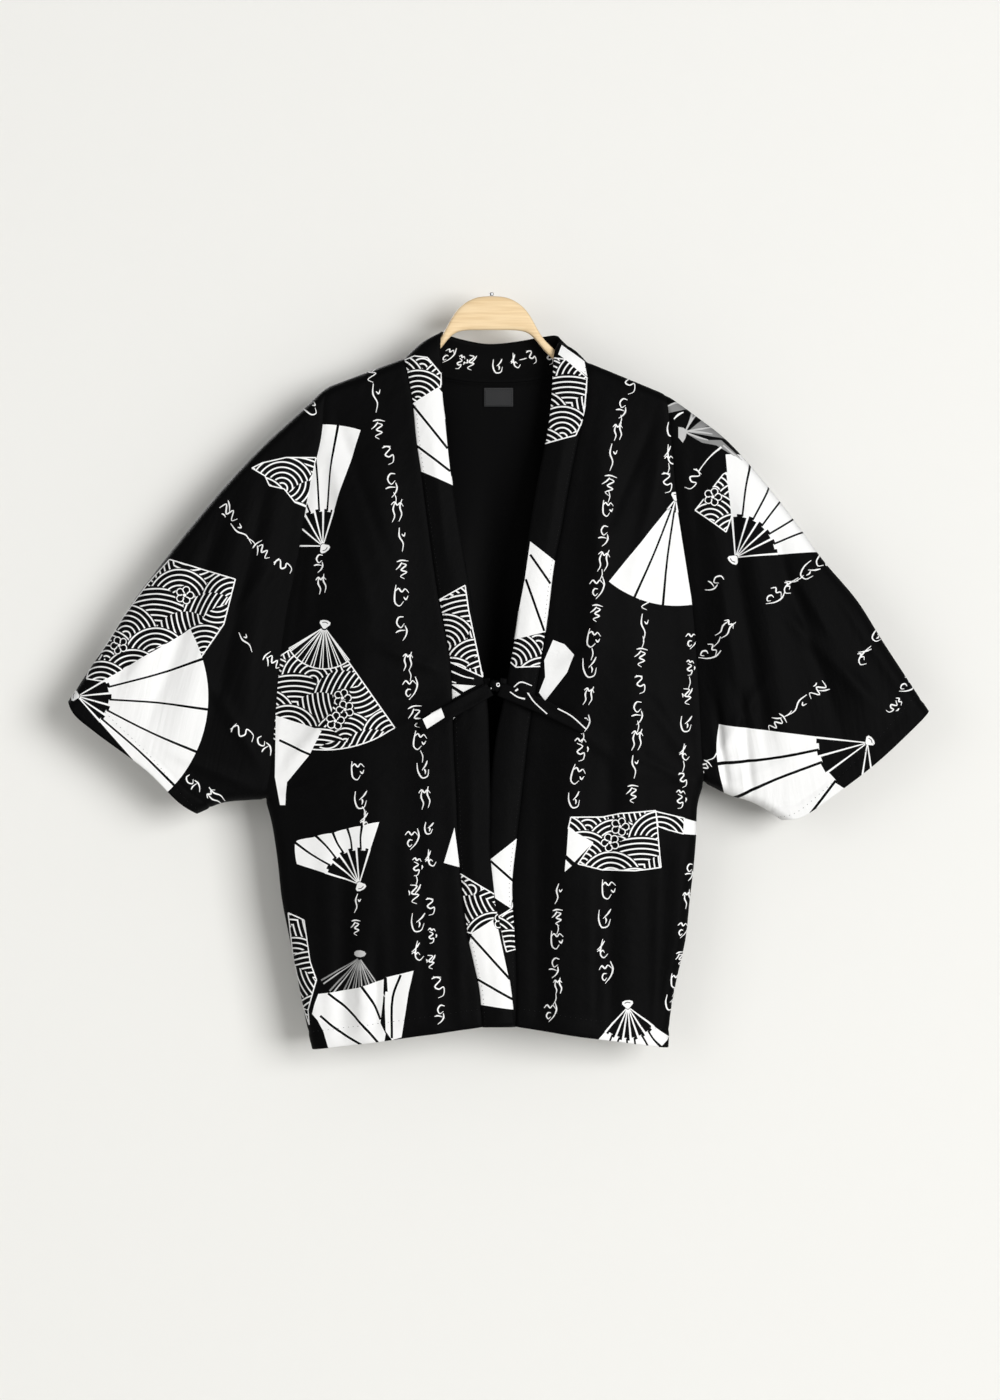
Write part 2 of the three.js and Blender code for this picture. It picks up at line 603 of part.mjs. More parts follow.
// The wood is lofted through upright sections with rounded corners, from end to end
function addHanger() {
  const end = WOOD.at(-1);
  const sections = [
    ...WOOD.map((row) => ({ ...row, x: -row.x })).reverse(), ...WOOD.slice(1),
  ];
  const positions = [];
  const soften = (value) => Math.sign(value) * Math.abs(value) ** (2 / WOOD_SQUARENESS);
  for (const { x, top, bottom } of sections) {
    for (let k = 0; k < WOOD_SIDES; k += 1) {
      const angle = ((k + 0.5) / WOOD_SIDES) * 2 * Math.PI;
      const slim = Math.abs(x) === end.x ? WOOD_END_SLIMNESS : 1;
      positions.push(
        x, WOOD_HALF_THICKNESS * slim * soften(Math.cos(angle)),
        (top + bottom) / 2 + ((top - bottom) / 2) * soften(Math.sin(angle)));
    }
  }
  const index = [];
  const last = (sections.length - 1) * WOOD_SIDES;
  for (let i = 0; i < sections.length - 1; i += 1) {
    for (let k = 0; k < WOOD_SIDES; k += 1) {
      const next = (k + 1) % WOOD_SIDES;
      const [a, b] = [i * WOOD_SIDES + k, i * WOOD_SIDES + next];
      index.push(a, b, a + WOOD_SIDES, b, b + WOOD_SIDES, a + WOOD_SIDES);
    }
  }
  for (let k = 1; k < WOOD_SIDES - 1; k += 1) {
    index.push(0, k + 1, k, last, last + k, last + k + 1);
  }
  const wood = new THREE.BufferGeometry();
  wood.setAttribute('position', new THREE.Float32BufferAttribute(positions, 3));
  wood.setIndex(index);
  wood.computeVertexNormals();
  add('hanger_body', wood, 'wood');
  const stub = new THREE.CylinderGeometry(STUB_RADIUS, STUB_RADIUS, STUB_HEIGHT, 16);
  stub.rotateX(Math.PI / 2);
  stub.translate(0, 0, -STUB_HEIGHT / 2);
  add('hanger_stub', stub, 'steel');
}

const panels = addJacket();
addLabel(panels.back);
addTies();
addHanger();

export default group;
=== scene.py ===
# A kimono jacket of black cotton with a white print of fans, waves and brush marks. It hangs
# from a plain wooden hanger. Sizes are in millimetres in the tables and in metres in the meshes,
# and left and right are the viewer's.
import math

import bmesh
import bpy
import numpy as np
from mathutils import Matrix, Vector
from mathutils.bvhtree import BVHTree
from mathutils.geometry import delaunay_2d_cdt


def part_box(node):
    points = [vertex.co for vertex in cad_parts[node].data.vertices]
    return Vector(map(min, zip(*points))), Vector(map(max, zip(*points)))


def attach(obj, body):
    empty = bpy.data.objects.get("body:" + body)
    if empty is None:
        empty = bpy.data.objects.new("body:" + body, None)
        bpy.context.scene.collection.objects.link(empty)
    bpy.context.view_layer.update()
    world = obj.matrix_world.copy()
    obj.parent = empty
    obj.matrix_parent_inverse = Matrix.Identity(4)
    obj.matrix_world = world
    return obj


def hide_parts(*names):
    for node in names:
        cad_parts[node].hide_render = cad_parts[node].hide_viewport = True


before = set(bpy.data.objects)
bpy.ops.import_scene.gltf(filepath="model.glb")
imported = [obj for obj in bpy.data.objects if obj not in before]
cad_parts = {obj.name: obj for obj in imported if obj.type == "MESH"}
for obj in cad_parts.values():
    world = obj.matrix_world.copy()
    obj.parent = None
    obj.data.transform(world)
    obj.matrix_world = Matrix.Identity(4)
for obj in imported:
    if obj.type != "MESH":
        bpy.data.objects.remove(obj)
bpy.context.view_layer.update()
bpy.ops.object.select_all(action="DESELECT")
MM = 0.001

# Camera and room
# The jacket hangs close to a white wall, over a pale floor, in soft daylight from the upper
# right. The wall is one-sided, so that the back can be looked at as well.
PHOTO_WIDTH, PHOTO_HEIGHT = 1000, 1400
PHOTO_SCALE = 1.14 * MM  # metres to a pixel of the photograph
ORIGIN_PIXEL = (491.5, 291)
CAMERA_DISTANCE = 3.8
SENSOR_WIDTH = 36
FRONT_PLANE = -0.015  # where the jacket's front is on average
WALL_Y, FLOOR_Z = 0.062, -1.75
ROOM_SIZE = 9



def put_in_scene(name, data):
    """A new object of a mesh, lamp or camera, in the scene."""
    made = bpy.data.objects.new(name, data)
    bpy.context.scene.collection.objects.link(made)
    return made


camera_data = bpy.data.cameras.new("camera")
camera_data.sensor_width = SENSOR_WIDTH
camera_data.lens = SENSOR_WIDTH * CAMERA_DISTANCE / (PHOTO_HEIGHT * PHOTO_SCALE)
camera = put_in_scene("camera", camera_data)
camera.location = ((PHOTO_WIDTH / 2 - ORIGIN_PIXEL[0]) * PHOTO_SCALE,
                   FRONT_PLANE - CAMERA_DISTANCE,
                   (ORIGIN_PIXEL[1] - PHOTO_HEIGHT / 2) * PHOTO_SCALE)
camera.rotation_euler = (math.pi / 2, 0, 0)
bpy.context.scene.camera = camera
bpy.context.scene.view_settings.view_transform = "Standard"


def new_material(name):
    """An empty node material with its output and shader."""
    made = bpy.data.materials.new(name)
    made.use_nodes = True
    return made, made.node_tree.nodes, made.node_tree.links, made.node_tree.nodes["Principled BSDF"]


def set_inputs(node, values):
    """Sets the sockets of a node or shader to constants."""
    for name, value in values.items():
        node.inputs[name].default_value = value


def add_node(nodes, kind, inputs=None, **values):
    """A node with some of its sockets and of its own settings changed."""
    made = nodes.new(kind)
    for name, value in values.items():
        setattr(made, name, value)
    set_inputs(made, inputs or {})
    return made


bpy.ops.mesh.primitive_plane_add(size=ROOM_SIZE, location=(0, WALL_Y, 0),
                                 rotation=(math.pi / 2, 0, 0))
wall = bpy.context.object
wall.name = "wall"
bpy.ops.mesh.primitive_plane_add(size=ROOM_SIZE, location=(0, 0, FLOOR_Z))
floor = bpy.context.object
floor.name = "floor"

WALL_COLOUR = (0.87, 0.864, 0.835, 1)
FLOOR_COLOUR = (0.74, 0.735, 0.71, 1)
material, nodes, links, shader = new_material("wall_paint")
set_inputs(shader, {"Base Color": WALL_COLOUR, "Roughness": 0.9})
clear = add_node(nodes, "ShaderNodeBsdfTransparent")
geometry = add_node(nodes, "ShaderNodeNewGeometry")
path = add_node(nodes, "ShaderNodeLightPath")
front_side = add_node(nodes, "ShaderNodeMath", {0: 1}, operation="SUBTRACT")
links.new(geometry.outputs["Backfacing"], front_side.inputs[1])
shown = add_node(nodes, "ShaderNodeMath", operation="MULTIPLY")
links.new(front_side.outputs[0], shown.inputs[0])
links.new(path.outputs["Is Camera Ray"], shown.inputs[1])
mix = add_node(nodes, "ShaderNodeMixShader")
links.new(shown.outputs[0], mix.inputs[0])
links.new(clear.outputs[0], mix.inputs[1])
links.new(shader.outputs[0], mix.inputs[2])
links.new(mix.outputs[0], nodes["Material Output"].inputs["Surface"])
wall.data.materials.append(material)

material, nodes, links, shader = new_material("floor_paint")
set_inputs(shader, {"Base Color": FLOOR_COLOUR, "Roughness": 0.85})
floor.data.materials.append(material)


# Each square soft light's place, its size in metres and its power in watts
LIGHTS = {"window": ((5.44, -7.68, 0.4), 4.8, 735),
          "room_front": ((-2.6, -3.4, 0.0), 2.4, 26),
          "room_back": ((-1.2, 2.6, 1.1), 1.8, 70)}
JACKET_MIDDLE = Vector((0, 0, -0.45))
for name, (place, size, power) in LIGHTS.items():
    light = bpy.data.lights.new(name, "AREA")
    light.size = size
    light.energy = power
    lamp = put_in_scene(name, light)
    lamp.location = place
    lamp.rotation_euler = (JACKET_MIDDLE - Vector(place)).to_track_quat("-Z", "Y").to_euler()
world = bpy.data.worlds.new("daylight")
bpy.context.scene.world = world
world.use_nodes = True
nodes, links = world.node_tree.nodes, world.node_tree.links
sky = nodes["Background"]
set_inputs(sky, {"Color": (0.93, 0.925, 0.905, 1)})
SKY_LIGHT, SKY_SHOWN = 0.25, 0.93  # what it gives the object, and how bright it looks itself
path = add_node(nodes, "ShaderNodeLightPath")
strength = add_node(nodes, "ShaderNodeMapRange", {"To Min": SKY_LIGHT, "To Max": SKY_SHOWN})
links.new(path.outputs["Is Camera Ray"], strength.inputs["Value"])
links.new(strength.outputs[0], sky.inputs["Strength"])


# Hanger
# One bent piece of pale beech, planed and rounded over. It holds the shoulders and shows as a
# hump over the neck. The short steel stub is the root of its hook.
def take_copy(node, name):
    """A new piece on a CAD node's form, with its loose triangles merged into quads."""
    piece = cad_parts[node].copy()
    piece.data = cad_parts[node].data.copy()
    piece.parent = None
    for key in list(piece.keys()):
        del piece[key]
    piece.name = name
    bpy.context.scene.collection.objects.link(piece)
    bpy.ops.object.select_all(action="DESELECT")
    bpy.context.view_layer.objects.active = piece
    piece.select_set(True)
    bpy.ops.object.mode_set(mode="EDIT")
    bpy.ops.mesh.select_all(action="SELECT")
    bpy.ops.mesh.remove_doubles(threshold=0.01 * MM)
    bpy.ops.mesh.tris_convert_to_quads(face_threshold=math.radians(30),
                                       shape_threshold=math.radians(60))
    bpy.ops.object.mode_set(mode="OBJECT")
    return piece


def apply_modifier(piece, kind, **values):
    """Adds a modifier and applies it."""
    made = piece.modifiers.new(kind.lower(), kind)
    for name, value in values.items():
        setattr(made, name, value)
    bpy.context.view_layer.objects.active = piece
    bpy.ops.object.modifier_apply(modifier=made.name)


def stand_for(piece, node):
    """Puts a finished piece on the one body, in place of its CAD node."""
    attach(piece, "root")
    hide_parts(node)


def two_tones(nodes, dark, light, at=(0, 1)):
    """A ramp from one colour to another, between two values of what feeds it."""
    ramp = add_node(nodes, "ShaderNodeValToRGB")
    for element, colour, value in zip(ramp.color_ramp.elements, (dark, light), at):
        element.position = value
        element.color = (*colour, 1)
    return ramp


wood = take_copy("hanger_body", "hanger_wood")
apply_modifier(wood, "SUBSURF", levels=2, render_levels=2)
wood.data.shade_smooth()
wood.data.materials.clear()
material, nodes, links, shader = new_material("beech")
place = add_node(nodes, "ShaderNodeTexCoord")
stretch = add_node(nodes, "ShaderNodeMapping", {"Scale": (6, 60, 130)})
links.new(place.outputs["Object"], stretch.inputs["Vector"])
grain = add_node(nodes, "ShaderNodeTexNoise", {"Scale": 3.0, "Detail": 6})
links.new(stretch.outputs[0], grain.inputs["Vector"])
tone = two_tones(nodes, (0.82, 0.60, 0.34), (0.92, 0.71, 0.44), at=(0.35, 0.62))
links.new(grain.outputs["Fac"], tone.inputs[0])
links.new(tone.outputs[0], shader.inputs["Base Color"])
set_inputs(shader, {"Roughness": 0.5, "Specular IOR Level": 0.3})
bump = add_node(nodes, "ShaderNodeBump", {"Strength": 0.12, "Distance": 0.0004})
links.new(grain.outputs["Fac"], bump.inputs["Height"])
links.new(bump.outputs[0], shader.inputs["Normal"])
wood.data.materials.append(material)
stand_for(wood, "hanger_body")

STUB_RADIUS, STUB_HEIGHT, STUB_BEVEL = 2.2 * MM, 3.5 * MM, 0.5 * MM
bpy.ops.mesh.primitive_cylinder_add(vertices=32, radius=STUB_RADIUS, depth=STUB_HEIGHT,
                                    location=(0, 0, -STUB_HEIGHT / 2))
stub = bpy.context.object
stub.name = "hook_stub"
bpy.ops.object.transform_apply(location=True, rotation=True, scale=True)
apply_modifier(stub, "BEVEL", width=STUB_BEVEL, segments=4)
stub.data.shade_smooth()
material, nodes, links, shader = new_material("steel")
set_inputs(shader, {"Base Color": (0.42, 0.43, 0.45, 1), "Metallic": 1})
scratches = add_node(nodes, "ShaderNodeTexNoise", {"Scale": 900})
place = add_node(nodes, "ShaderNodeTexCoord")
links.new(place.outputs["Object"], scratches.inputs["Vector"])
gloss = add_node(nodes, "ShaderNodeMapRange", {"To Min": 0.25, "To Max": 0.5})
links.new(scratches.outputs["Fac"], gloss.inputs["Value"])
links.new(gloss.outputs[0], shader.inputs["Roughness"])
stub.data.materials.append(material)
stand_for(stub, "hanger_stub")


# Back panel
# Cut in one piece from the shoulder seams and the back neck to the hem. The black cotton is
# printed on its face and plain on its reverse. It is the first cloth piece, so the ways to
# draw a seam line, drape a sheet, lay the print and thicken the cloth stand here.
CLOTH_THICKNESS = 1.1  # of the thin shell
ROUNDING = 14  # how far below a fold or beside a seam the cloth is still turning
STEP = 5  # of the sheets' own grids
CREASE_RELIEF = 1.5  # how much deeper all creases are than their tables say
CREASE_EDGE = 22  # how far from a sheet's edge a crease reaches its height
SEAM_SINK, SEAM_REACH = 1.3, 3.2  # depth and width of the dip along a seam
HEM_DEPTH, CUFF_HEM = 20, 16  # cloth turned in
HEM_RISE, HEM_TURN, HEM_GROOVE, GROOVE_REACH = 0.5, 1.5, 0.6, 2.2
EDGE_ROUNDING = 0.4  # how far the cloth's edge stands out, as a share of its thickness
SHOULDER_DEPTH, ARMHOLE_DEPTH, FRONT_DEPTH, BACK_DEPTH = 16, 15, 33, 31
DEPTH_GROWTH, ARMHOLE_BLEND, EDGE_BLEND = 220, 110, 60
FOLD_BESIDE, FOLD_BELOW, FOLD_TAPER = 45, 60, 0.3

SIDES = ("left", "right")
ARMHOLE = {
    "left": [(-190, -109), (-194, -165), (-203, -205), (-213, -255), (-222, -310), (-234, -370),
             (-242, -430), (-247, -490), (-252, -545), (-259, -580)],
    "right": [(200, -117), (206, -181), (211, -237), (218, -280), (229, -360), (234, -421),
              (238, -490), (240, -530), (243, -561)]}
SIDE = {
    "left": [(-259, -580), (-252, -605), (-245, -649), (-240, -694), (-231, -740), (-222, -785),
             (-213, -831), (-205, -865)],
    "right": [(243, -561), (236, -585), (234, -626), (231, -660), (227, -694), (222, -740),
              (211, -790), (204, -831), (202, -863)]}
# The collar band: x and z of the edge sewn to the fronts, x and z of its free edge, depth
BAND_FRONT = {
    "left": [
        (-99, -75, -59, -46, 0), (-99, -76, -59, -46.5, -6), (-99, -79, -59, -51, -11),
        (-98, -84, -59, -62, -13.5), (-95, -96, -58, -84, -15), (-89, -130, -56, -124, -18),
        (-85, -170, -50, -168, -21), (-79, -210, -46, -210, -24), (-70, -278, -36, -278, -26),
        (-61, -341, -25, -341, -27), (-46, -426, -11, -431, -28), (-44, -466, -5, -472, -30),
        (-42, -523, -3, -523, -33), (-39, -580, -2, -580, -34), (-37, -637, -2, -637, -34),
        (-33, -683, 2, -683, -34), (-27, -731, 11, -731, -34), (-20, -763, 17, -765, -34),
        (-13, -796, 22, -797, -34), (-10, -837, 26, -835, -34)],
    "right": [
        (108, -79, 78, -57, 0), (109, -80, 77, -58, -6), (110, -83, 74, -64, -11),
        (110, -88, 71.5, -75, -13.5), (109, -99, 70, -92, -15), (107, -130, 68, -126, -18),
        (99, -166, 63, -166, -21), (87, -227, 51, -227, -24), (78, -278, 42, -281, -26),
        (71, -312, 36, -322, -26), (63, -375, 29, -381, -27), (56, -421, 21, -429, -27),
        (48, -466, 13, -472, -27), (42, -502, 6, -506, -27), (36, -557, -1, -560, -28),
        (29, -618, -7, -620, -29), (23, -677, -13, -679, -29), (26, -728, -11, -731, -29),
        (28, -790, -9, -790, -29), (27, -837, -9, -837, -29)]}
# x and z of the seam, x and z of the free edge, depth of the free edge
BAND_BACK = [
    (-99, -75, -59, -46, 0), (-94, -80, -57, -44, 7), (-82, -88, -50, -48, 12),
    (-47, -98, -29, -54, 15), (-2, -102, -2, -58, 16), (44, -100, 31, -55, 15),
    (74, -93, 60, -50, 12), (94, -85, 76, -49, 7), (108, -79, 78, -57, 0)]
BACK_INNER = {"left": -62, "right": 66}
BACK_HEM = -838
# Broad folds, from (x, z) to (x, z), with their width and height
BACK_FOLDS = [
    (-150, -110, -162, -960, 24, 5), (-72, -130, -88, -980, 18, 5), (4, -110, -8, -980, 26, 6),
    (78, -130, 66, -980, 20, 4), (150, -120, 148, -980, 24, 6)]
# Creases, in the same columns: soft ridges, and troughs where the height is below zero
BACK_CREASES = [
    (-205, -140, -120, -330, 7, 1.6), (205, -150, 128, -350, 8, 1.8),
    (-250, -575, -150, -470, 8, 2.2), (-252, -590, -140, -540, 6, 1.6),
    (236, -560, 140, -450, 8, 2.4), (236, -575, 150, -530, 6, 1.5),
    (-110, -300, -122, -830, 9, -2.6), (-34, -240, -42, -860, 10, -2.4),
    (42, -260, 30, -860, 9, -2.6), (112, -280, 108, -860, 10, -2.8),
    (-196, -560, -190, -900, 8, 2.2), (196, -560, 186, -900, 8, 2.0),
    (-60, -110, -70, -300, 8, 1.6), (62, -112, 70, -320, 8, 1.8), (0, -420, -16, -700, 6, 1.5),
    (-140, -640, -128, -900, 6, 1.8), (92, -600, 84, -900, 6, 1.6), (18, -640, 10, -900, 6, 1.4)]


def smooth(t):
    """From 0 to 1 with soft ends."""
    t = np.clip(t, 0, 1)
    return t * t * (3 - 2 * t)


def blend(a, b, t):
    """The value at share t of the way from a to b."""
    return a + (b - a) * t


def rounded(distance):
    """From 0 at a fold or a seam to 1 where the cloth has turned a quarter circle."""
    return np.sqrt(1 - (1 - np.clip(distance / ROUNDING, 0, 1)) ** 2)


def turn_steps(count=7):
    """Distances from a fold that are close together at its edge."""
    return ROUNDING * (1 - np.cos(np.linspace(0, math.pi / 2, count + 1)))


def draw_line(points, samples=40):
    """A smooth line through points of any number of coordinates, and its running length."""
    p = np.array(points, float)
    ends = [2 * p[0] - p[1], 2 * p[-1] - p[-2]]
    p = np.vstack([ends[0], p, ends[1]])
    t = np.linspace(0, 1, samples, endpoint=False)[:, None]
    rows = []
    for a, b, c, d in zip(p, p[1:], p[2:], p[3:]):
        step = [max(float(np.linalg.norm(v - u)), 1e-6) ** 0.5 for u, v in ((a, b), (b, c), (c, d))]
        m0 = (b - a) / step[0] - (c - a) / (step[0] + step[1]) + (c - b) / step[1]
        m1 = (c - b) / step[1] - (d - b) / (step[1] + step[2]) + (d - c) / step[2]
        m0, m1 = m0 * step[1], m1 * step[1]
        rows.append(b + m0 * t + (3 * (c - b) - 2 * m0 - m1) * t ** 2
                    + (2 * (b - c) + m0 + m1) * t ** 3)
    line = np.vstack([*rows, p[-2]])
    steps = np.linalg.norm(np.diff(line, axis=0), axis=1)
    return line, np.concatenate([[0], np.cumsum(steps)])


def along(line, distance):
    """The points at distances along a drawn line."""
    points, run = line
    return np.stack([np.interp(distance, run, points[:, k]) for k in range(points.shape[1])], -1)


def fold_height(rows, x, z):
    """How far the folds of a table stand out at a place in the front view."""
    total = np.zeros_like(x, float)
    for x0, z0, x1, z1, width, height in rows:
        length = math.hypot(x1 - x0, z1 - z0)
        t = ((x - x0) * (x1 - x0) + (z - z0) * (z1 - z0)) / length ** 2
        across = ((x - x0) * (z1 - z0) - (z - z0) * (x1 - x0)) / length
        fade = smooth(t / FOLD_TAPER) * smooth((1 - t) / FOLD_TAPER)
        total += height * fade * np.exp(-((across / width) ** 2))
    return total


def panel_rows(side):
    """The rows of one half of the body: their distance below the shoulder at both edges."""
    armhole, seam = draw_line(ARMHOLE[side]), draw_line(SIDE[side])
    band = draw_line([(r[0], r[1]) for r in BAND_FRONT[side]])
    arm, down = armhole[1][-1], seam[1][-1]
    turn = turn_steps()
    upper = np.linspace(ROUNDING, arm - ROUNDING, int(arm / STEP))[1:-1]
    lower = np.linspace(arm, arm + down, int(down / STEP))[1:]
    outer = np.concatenate([turn, upper, (arm - turn)[::-1], lower])
    share = (outer - ROUNDING) / (arm + down - ROUNDING)
    inner = np.where(outer <= ROUNDING, outer, blend(ROUNDING, band[1][-1], share))
    outside = np.where((outer <= arm)[:, None], along(armhole, outer), along(seam, outer - arm))
    return {"outer": outer, "inner": inner, "arm": arm, "band": band, "outside": outside}


ROWS = {side: panel_rows(side) for side in SIDES}
PANEL_COLUMNS = {"left": 34, "right": 30}


def panel_columns(side, width):
    """Shares of each row's width, from the inner edge to the side, close together there."""
    even = np.linspace(0, 1, PANEL_COLUMNS[side], endpoint=False)[None, :]
    even = even * (1 - ROUNDING / width[:, None])
    near = (1 - turn_steps()[None, ::-1] / width[:, None])
    return np.concatenate([even, near], axis=1)


def body_depth(full, folds, x, z, below, beside, seam):
    """Half depth of the body at a place, as in the solids."""
    belly = blend(SHOULDER_DEPTH, full, smooth(below / DEPTH_GROWTH))
    core = blend(ARMHOLE_DEPTH, belly, smooth(beside / ARMHOLE_BLEND))
    fold = fold_height(folds, x, z) * smooth(beside / FOLD_BESIDE) * smooth(below / FOLD_BELOW)
    return (core + fold) * rounded(below) * rounded(seam)


def half_panel(side, inner_xz, full, folds):
    """Points of one side of the body between an inner line and the armhole and side."""
    rows = ROWS[side]
    width = np.linalg.norm(rows["outside"] - inner_xz, axis=1)
    u = panel_columns(side, width)
    x = blend(inner_xz[:, :1], rows["outside"][:, :1], u)
    z = blend(inner_xz[:, 1:], rows["outside"][:, 1:], u)
    below = blend(rows["inner"][:, None], rows["outer"][:, None], u)
    beside = width[:, None] * (1 - u)
    above = np.maximum(rows["arm"] - rows["outer"], 0)[:, None]
    depth = body_depth(full, folds, x, z, below, beside, np.hypot(beside, above))
    return x, z, depth, u * width[:, None]


def neck_edges(share):
    """Both edges of the band round the back of the neck, and the drop below the shoulder."""
    line = draw_line([(r[0], r[1], r[2], r[4], r[3]) for r in BAND_BACK])
    seam = draw_line([(r[0], r[1]) for r in BAND_BACK])
    t = np.interp(share * seam[1][-1], seam[1], np.linspace(0, 1, len(seam[1])))
    both = np.stack([np.interp(t, np.linspace(0, 1, len(line[0])), line[0][:, k])
                     for k in range(5)], -1)
    across = (both[:, 0] - both[0, 0]) / (both[-1, 0] - both[0, 0])
    below = blend(both[0, 1], both[-1, 1], across) - both[:, 1]
    seam_points = np.stack([both[:, 0], SHOULDER_DEPTH * rounded(below), both[:, 1]], -1)
    return seam_points, both[:, 2:5], below


NECK_COLUMNS = 44
NECK_SEAM, NECK_FREE, NECK_BELOW = neck_edges(
    (1 - np.cos(np.linspace(0, math.pi, NECK_COLUMNS + 1))) / 2)


def back_grid():
    """Points of the whole back panel, from its left side to its right side."""
    halves, reach = {}, {}
    for side in SIDES:
        neck = BAND_FRONT[side][0]
        reach[side] = ROWS[side]["inner"] / ROWS[side]["inner"][-1]
        inner = np.stack([blend(neck[0], BACK_INNER[side], smooth(reach[side])),
                          blend(neck[1], BACK_HEM, reach[side])], -1)
        halves[side] = half_panel(side, inner, BACK_DEPTH, BACK_FOLDS)
    count = len(ROWS["left"]["outer"])
    right_rows = np.linspace(0, len(reach["right"]) - 1, count)

    def even_out(values):
        """Gives the right side as many rows as the left."""
        place = np.arange(len(values))
        return np.stack([np.interp(right_rows, place, values[:, k])
                         for k in range(values.shape[1])], -1)

    right = [even_out(v) for v in halves["right"][:3]]
    left = [v[:, ::-1] for v in halves["left"][:3]]
    down = (reach["left"] + np.interp(right_rows, np.arange(len(reach["right"])),
                                      reach["right"])) / 2
    seam, drop = NECK_SEAM[1:-1], NECK_BELOW[1:-1]
    across = (seam[:, 0] - NECK_SEAM[0, 0]) / (NECK_SEAM[-1, 0] - NECK_SEAM[0, 0])
    x = blend(seam[None, :, 0], blend(BACK_INNER["left"], BACK_INNER["right"], across)[None, :],
              smooth(down)[:, None])
    z = blend(seam[None, :, 2], BACK_HEM, down[:, None])
    beside = np.minimum(x - left[0][:, :1], right[0][:, -1:] - x)
    depth = body_depth(BACK_DEPTH, BACK_FOLDS, x, z, drop[None, :] + seam[None, :, 2] - z,
                       beside, beside)
    columns = [np.concatenate([a, b, c], axis=1)
               for a, b, c in ((left[0], x, right[0]), (left[2], depth, right[2]),
                               (left[1], z, right[1]))]
    return np.stack(columns, -1)


# The print: shapes are polygons in the front view, in the order that they were printed
BLACK, WHITE, WAVES, GREY, REVERSE, SILVER = 0, 1, 2, 3, 4, 5
RIB_WIDTH, OUTLINE_WIDTH = 2.7, 1.4
SCALE_RADIUS = 38  # of one bundle of wave lines
SCALE_DROP, SCALE_SPACING = 0.56, 1.55  # from row to row and in a row, in radii
WAVE_PITCH = 6.0


def ribbon(points, widths, kind, steps=5):
    """A line that a brush draws: a chain of quads along a smooth line through points."""
    points = np.array(points, float)
    line = draw_line(points, steps)[0]
    width = np.interp(np.linspace(0, 1, len(line)), np.linspace(0, 1, len(widths)), widths)
    heading = np.gradient(line, axis=0)
    heading /= np.linalg.norm(heading, axis=1)[:, None] + 1e-9
    side = np.stack([-heading[:, 1], heading[:, 0]], -1) * width[:, None] / 2
    left, right = line + side, line - side
    return [(np.array([a, b, c, d]), kind)
            for a, b, c, d in zip(left, left[1:], right[1:], right)]


def polar(pivot, angle, radius):
    """The place at an angle in degrees and a distance from a fan's pivot."""
    return (pivot[0] + radius * math.cos(math.radians(angle)),
            pivot[1] + radius * math.sin(math.radians(angle)))


def draw_fan(x, z, start, end, inner, outer, folds, leaf, ribs=None, rib_width=RIB_WIDTH):
    """An open folding fan: its leaf in folds, its ribs, its sticks and the cap at its pivot.
    Its outer edge is at one distance, or at distances for angles where it doesn't look round."""
    pivot = (x, z)
    reach = outer if isinstance(outer, list) else [(start, outer), (end, outer)]
    shapes = []
    angles = np.linspace(start, end, folds + 1) if ribs is None else [start, *ribs, end]
    middles = [(a + b) / 2 for a, b in zip(angles, angles[1:])]
    kind = {"white": WHITE, "waves": WAVES}[leaf]

    def rim(angle, more=0):
        return polar(pivot, angle, np.interp(angle, *zip(*reach)) + more)

    for a, b, c in zip(angles, middles, angles[1:]):
        arc = np.linspace(a, c, max(3, int(abs(c - a) / 2)))
        notch = [polar(pivot, c, inner - 1.5), polar(pivot, b, inner - 1.5),
                 polar(pivot, b, inner + 1.5), polar(pivot, a, inner + 1.5)]
        if leaf == "waves":
            notch = [polar(pivot, p, inner) for p in (c, b, a)]
        shapes.append((np.array([rim(p) for p in arc] + notch), kind))
    if leaf == "waves":
        arc = np.linspace(start, end, 9)
        shapes += ribbon([rim(a) for a in arc], [OUTLINE_WIDTH] * 2, WHITE, 3)
        shapes += ribbon([polar(pivot, a, inner) for a in arc], [OUTLINE_WIDTH] * 2, WHITE, 3)
        for a in (start, end):
            shapes += ribbon([polar(pivot, a, 5), polar(pivot, a, inner), rim(a)],
                             [OUTLINE_WIDTH] * 2, WHITE, 1)
        for a in angles:
            for turn in (-2.2, 2.2):
                shapes += ribbon([polar(pivot, a, 4), polar(pivot, a + turn, inner)],
                                 [0.9, 1.2], WHITE, 1)
    else:
        for k, a in enumerate(angles[1:-1]):
            sway = 1.2 * (-1) ** k
            half = blend(np.array(polar(pivot, a + sway, inner)), np.array(rim(a + sway)), 0.5)
            shapes += ribbon([polar(pivot, a, inner - 1), half, rim(a, 1)],
                             [rib_width * 0.8, rib_width * 0.8, rib_width * 1.1], BLACK, 4)
        for a in [start + 1, *middles[1:-1], end - 1]:
            shapes += ribbon([polar(pivot, a, 3), polar(pivot, a, inner + 1.5)], [1.2, 2.4],
                             WHITE, 1)
    back = (start + end) / 2 + 180
    cap = [polar(pivot, back + turn, distance) for turn, distance in
           ((-150, 2.5), (-62, 7), (-45, 8.5), (-20, 8), (0, 7.6), (20, 8), (45, 8.5), (62, 7),
            (150, 2.5))]
    shapes.append((np.array(cap), WHITE))
    shapes += ribbon([polar(pivot, back + turn, 5.4) for turn in (-38, 0, 38)], [0.9, 0.9], BLACK,
                     2)
    return shapes


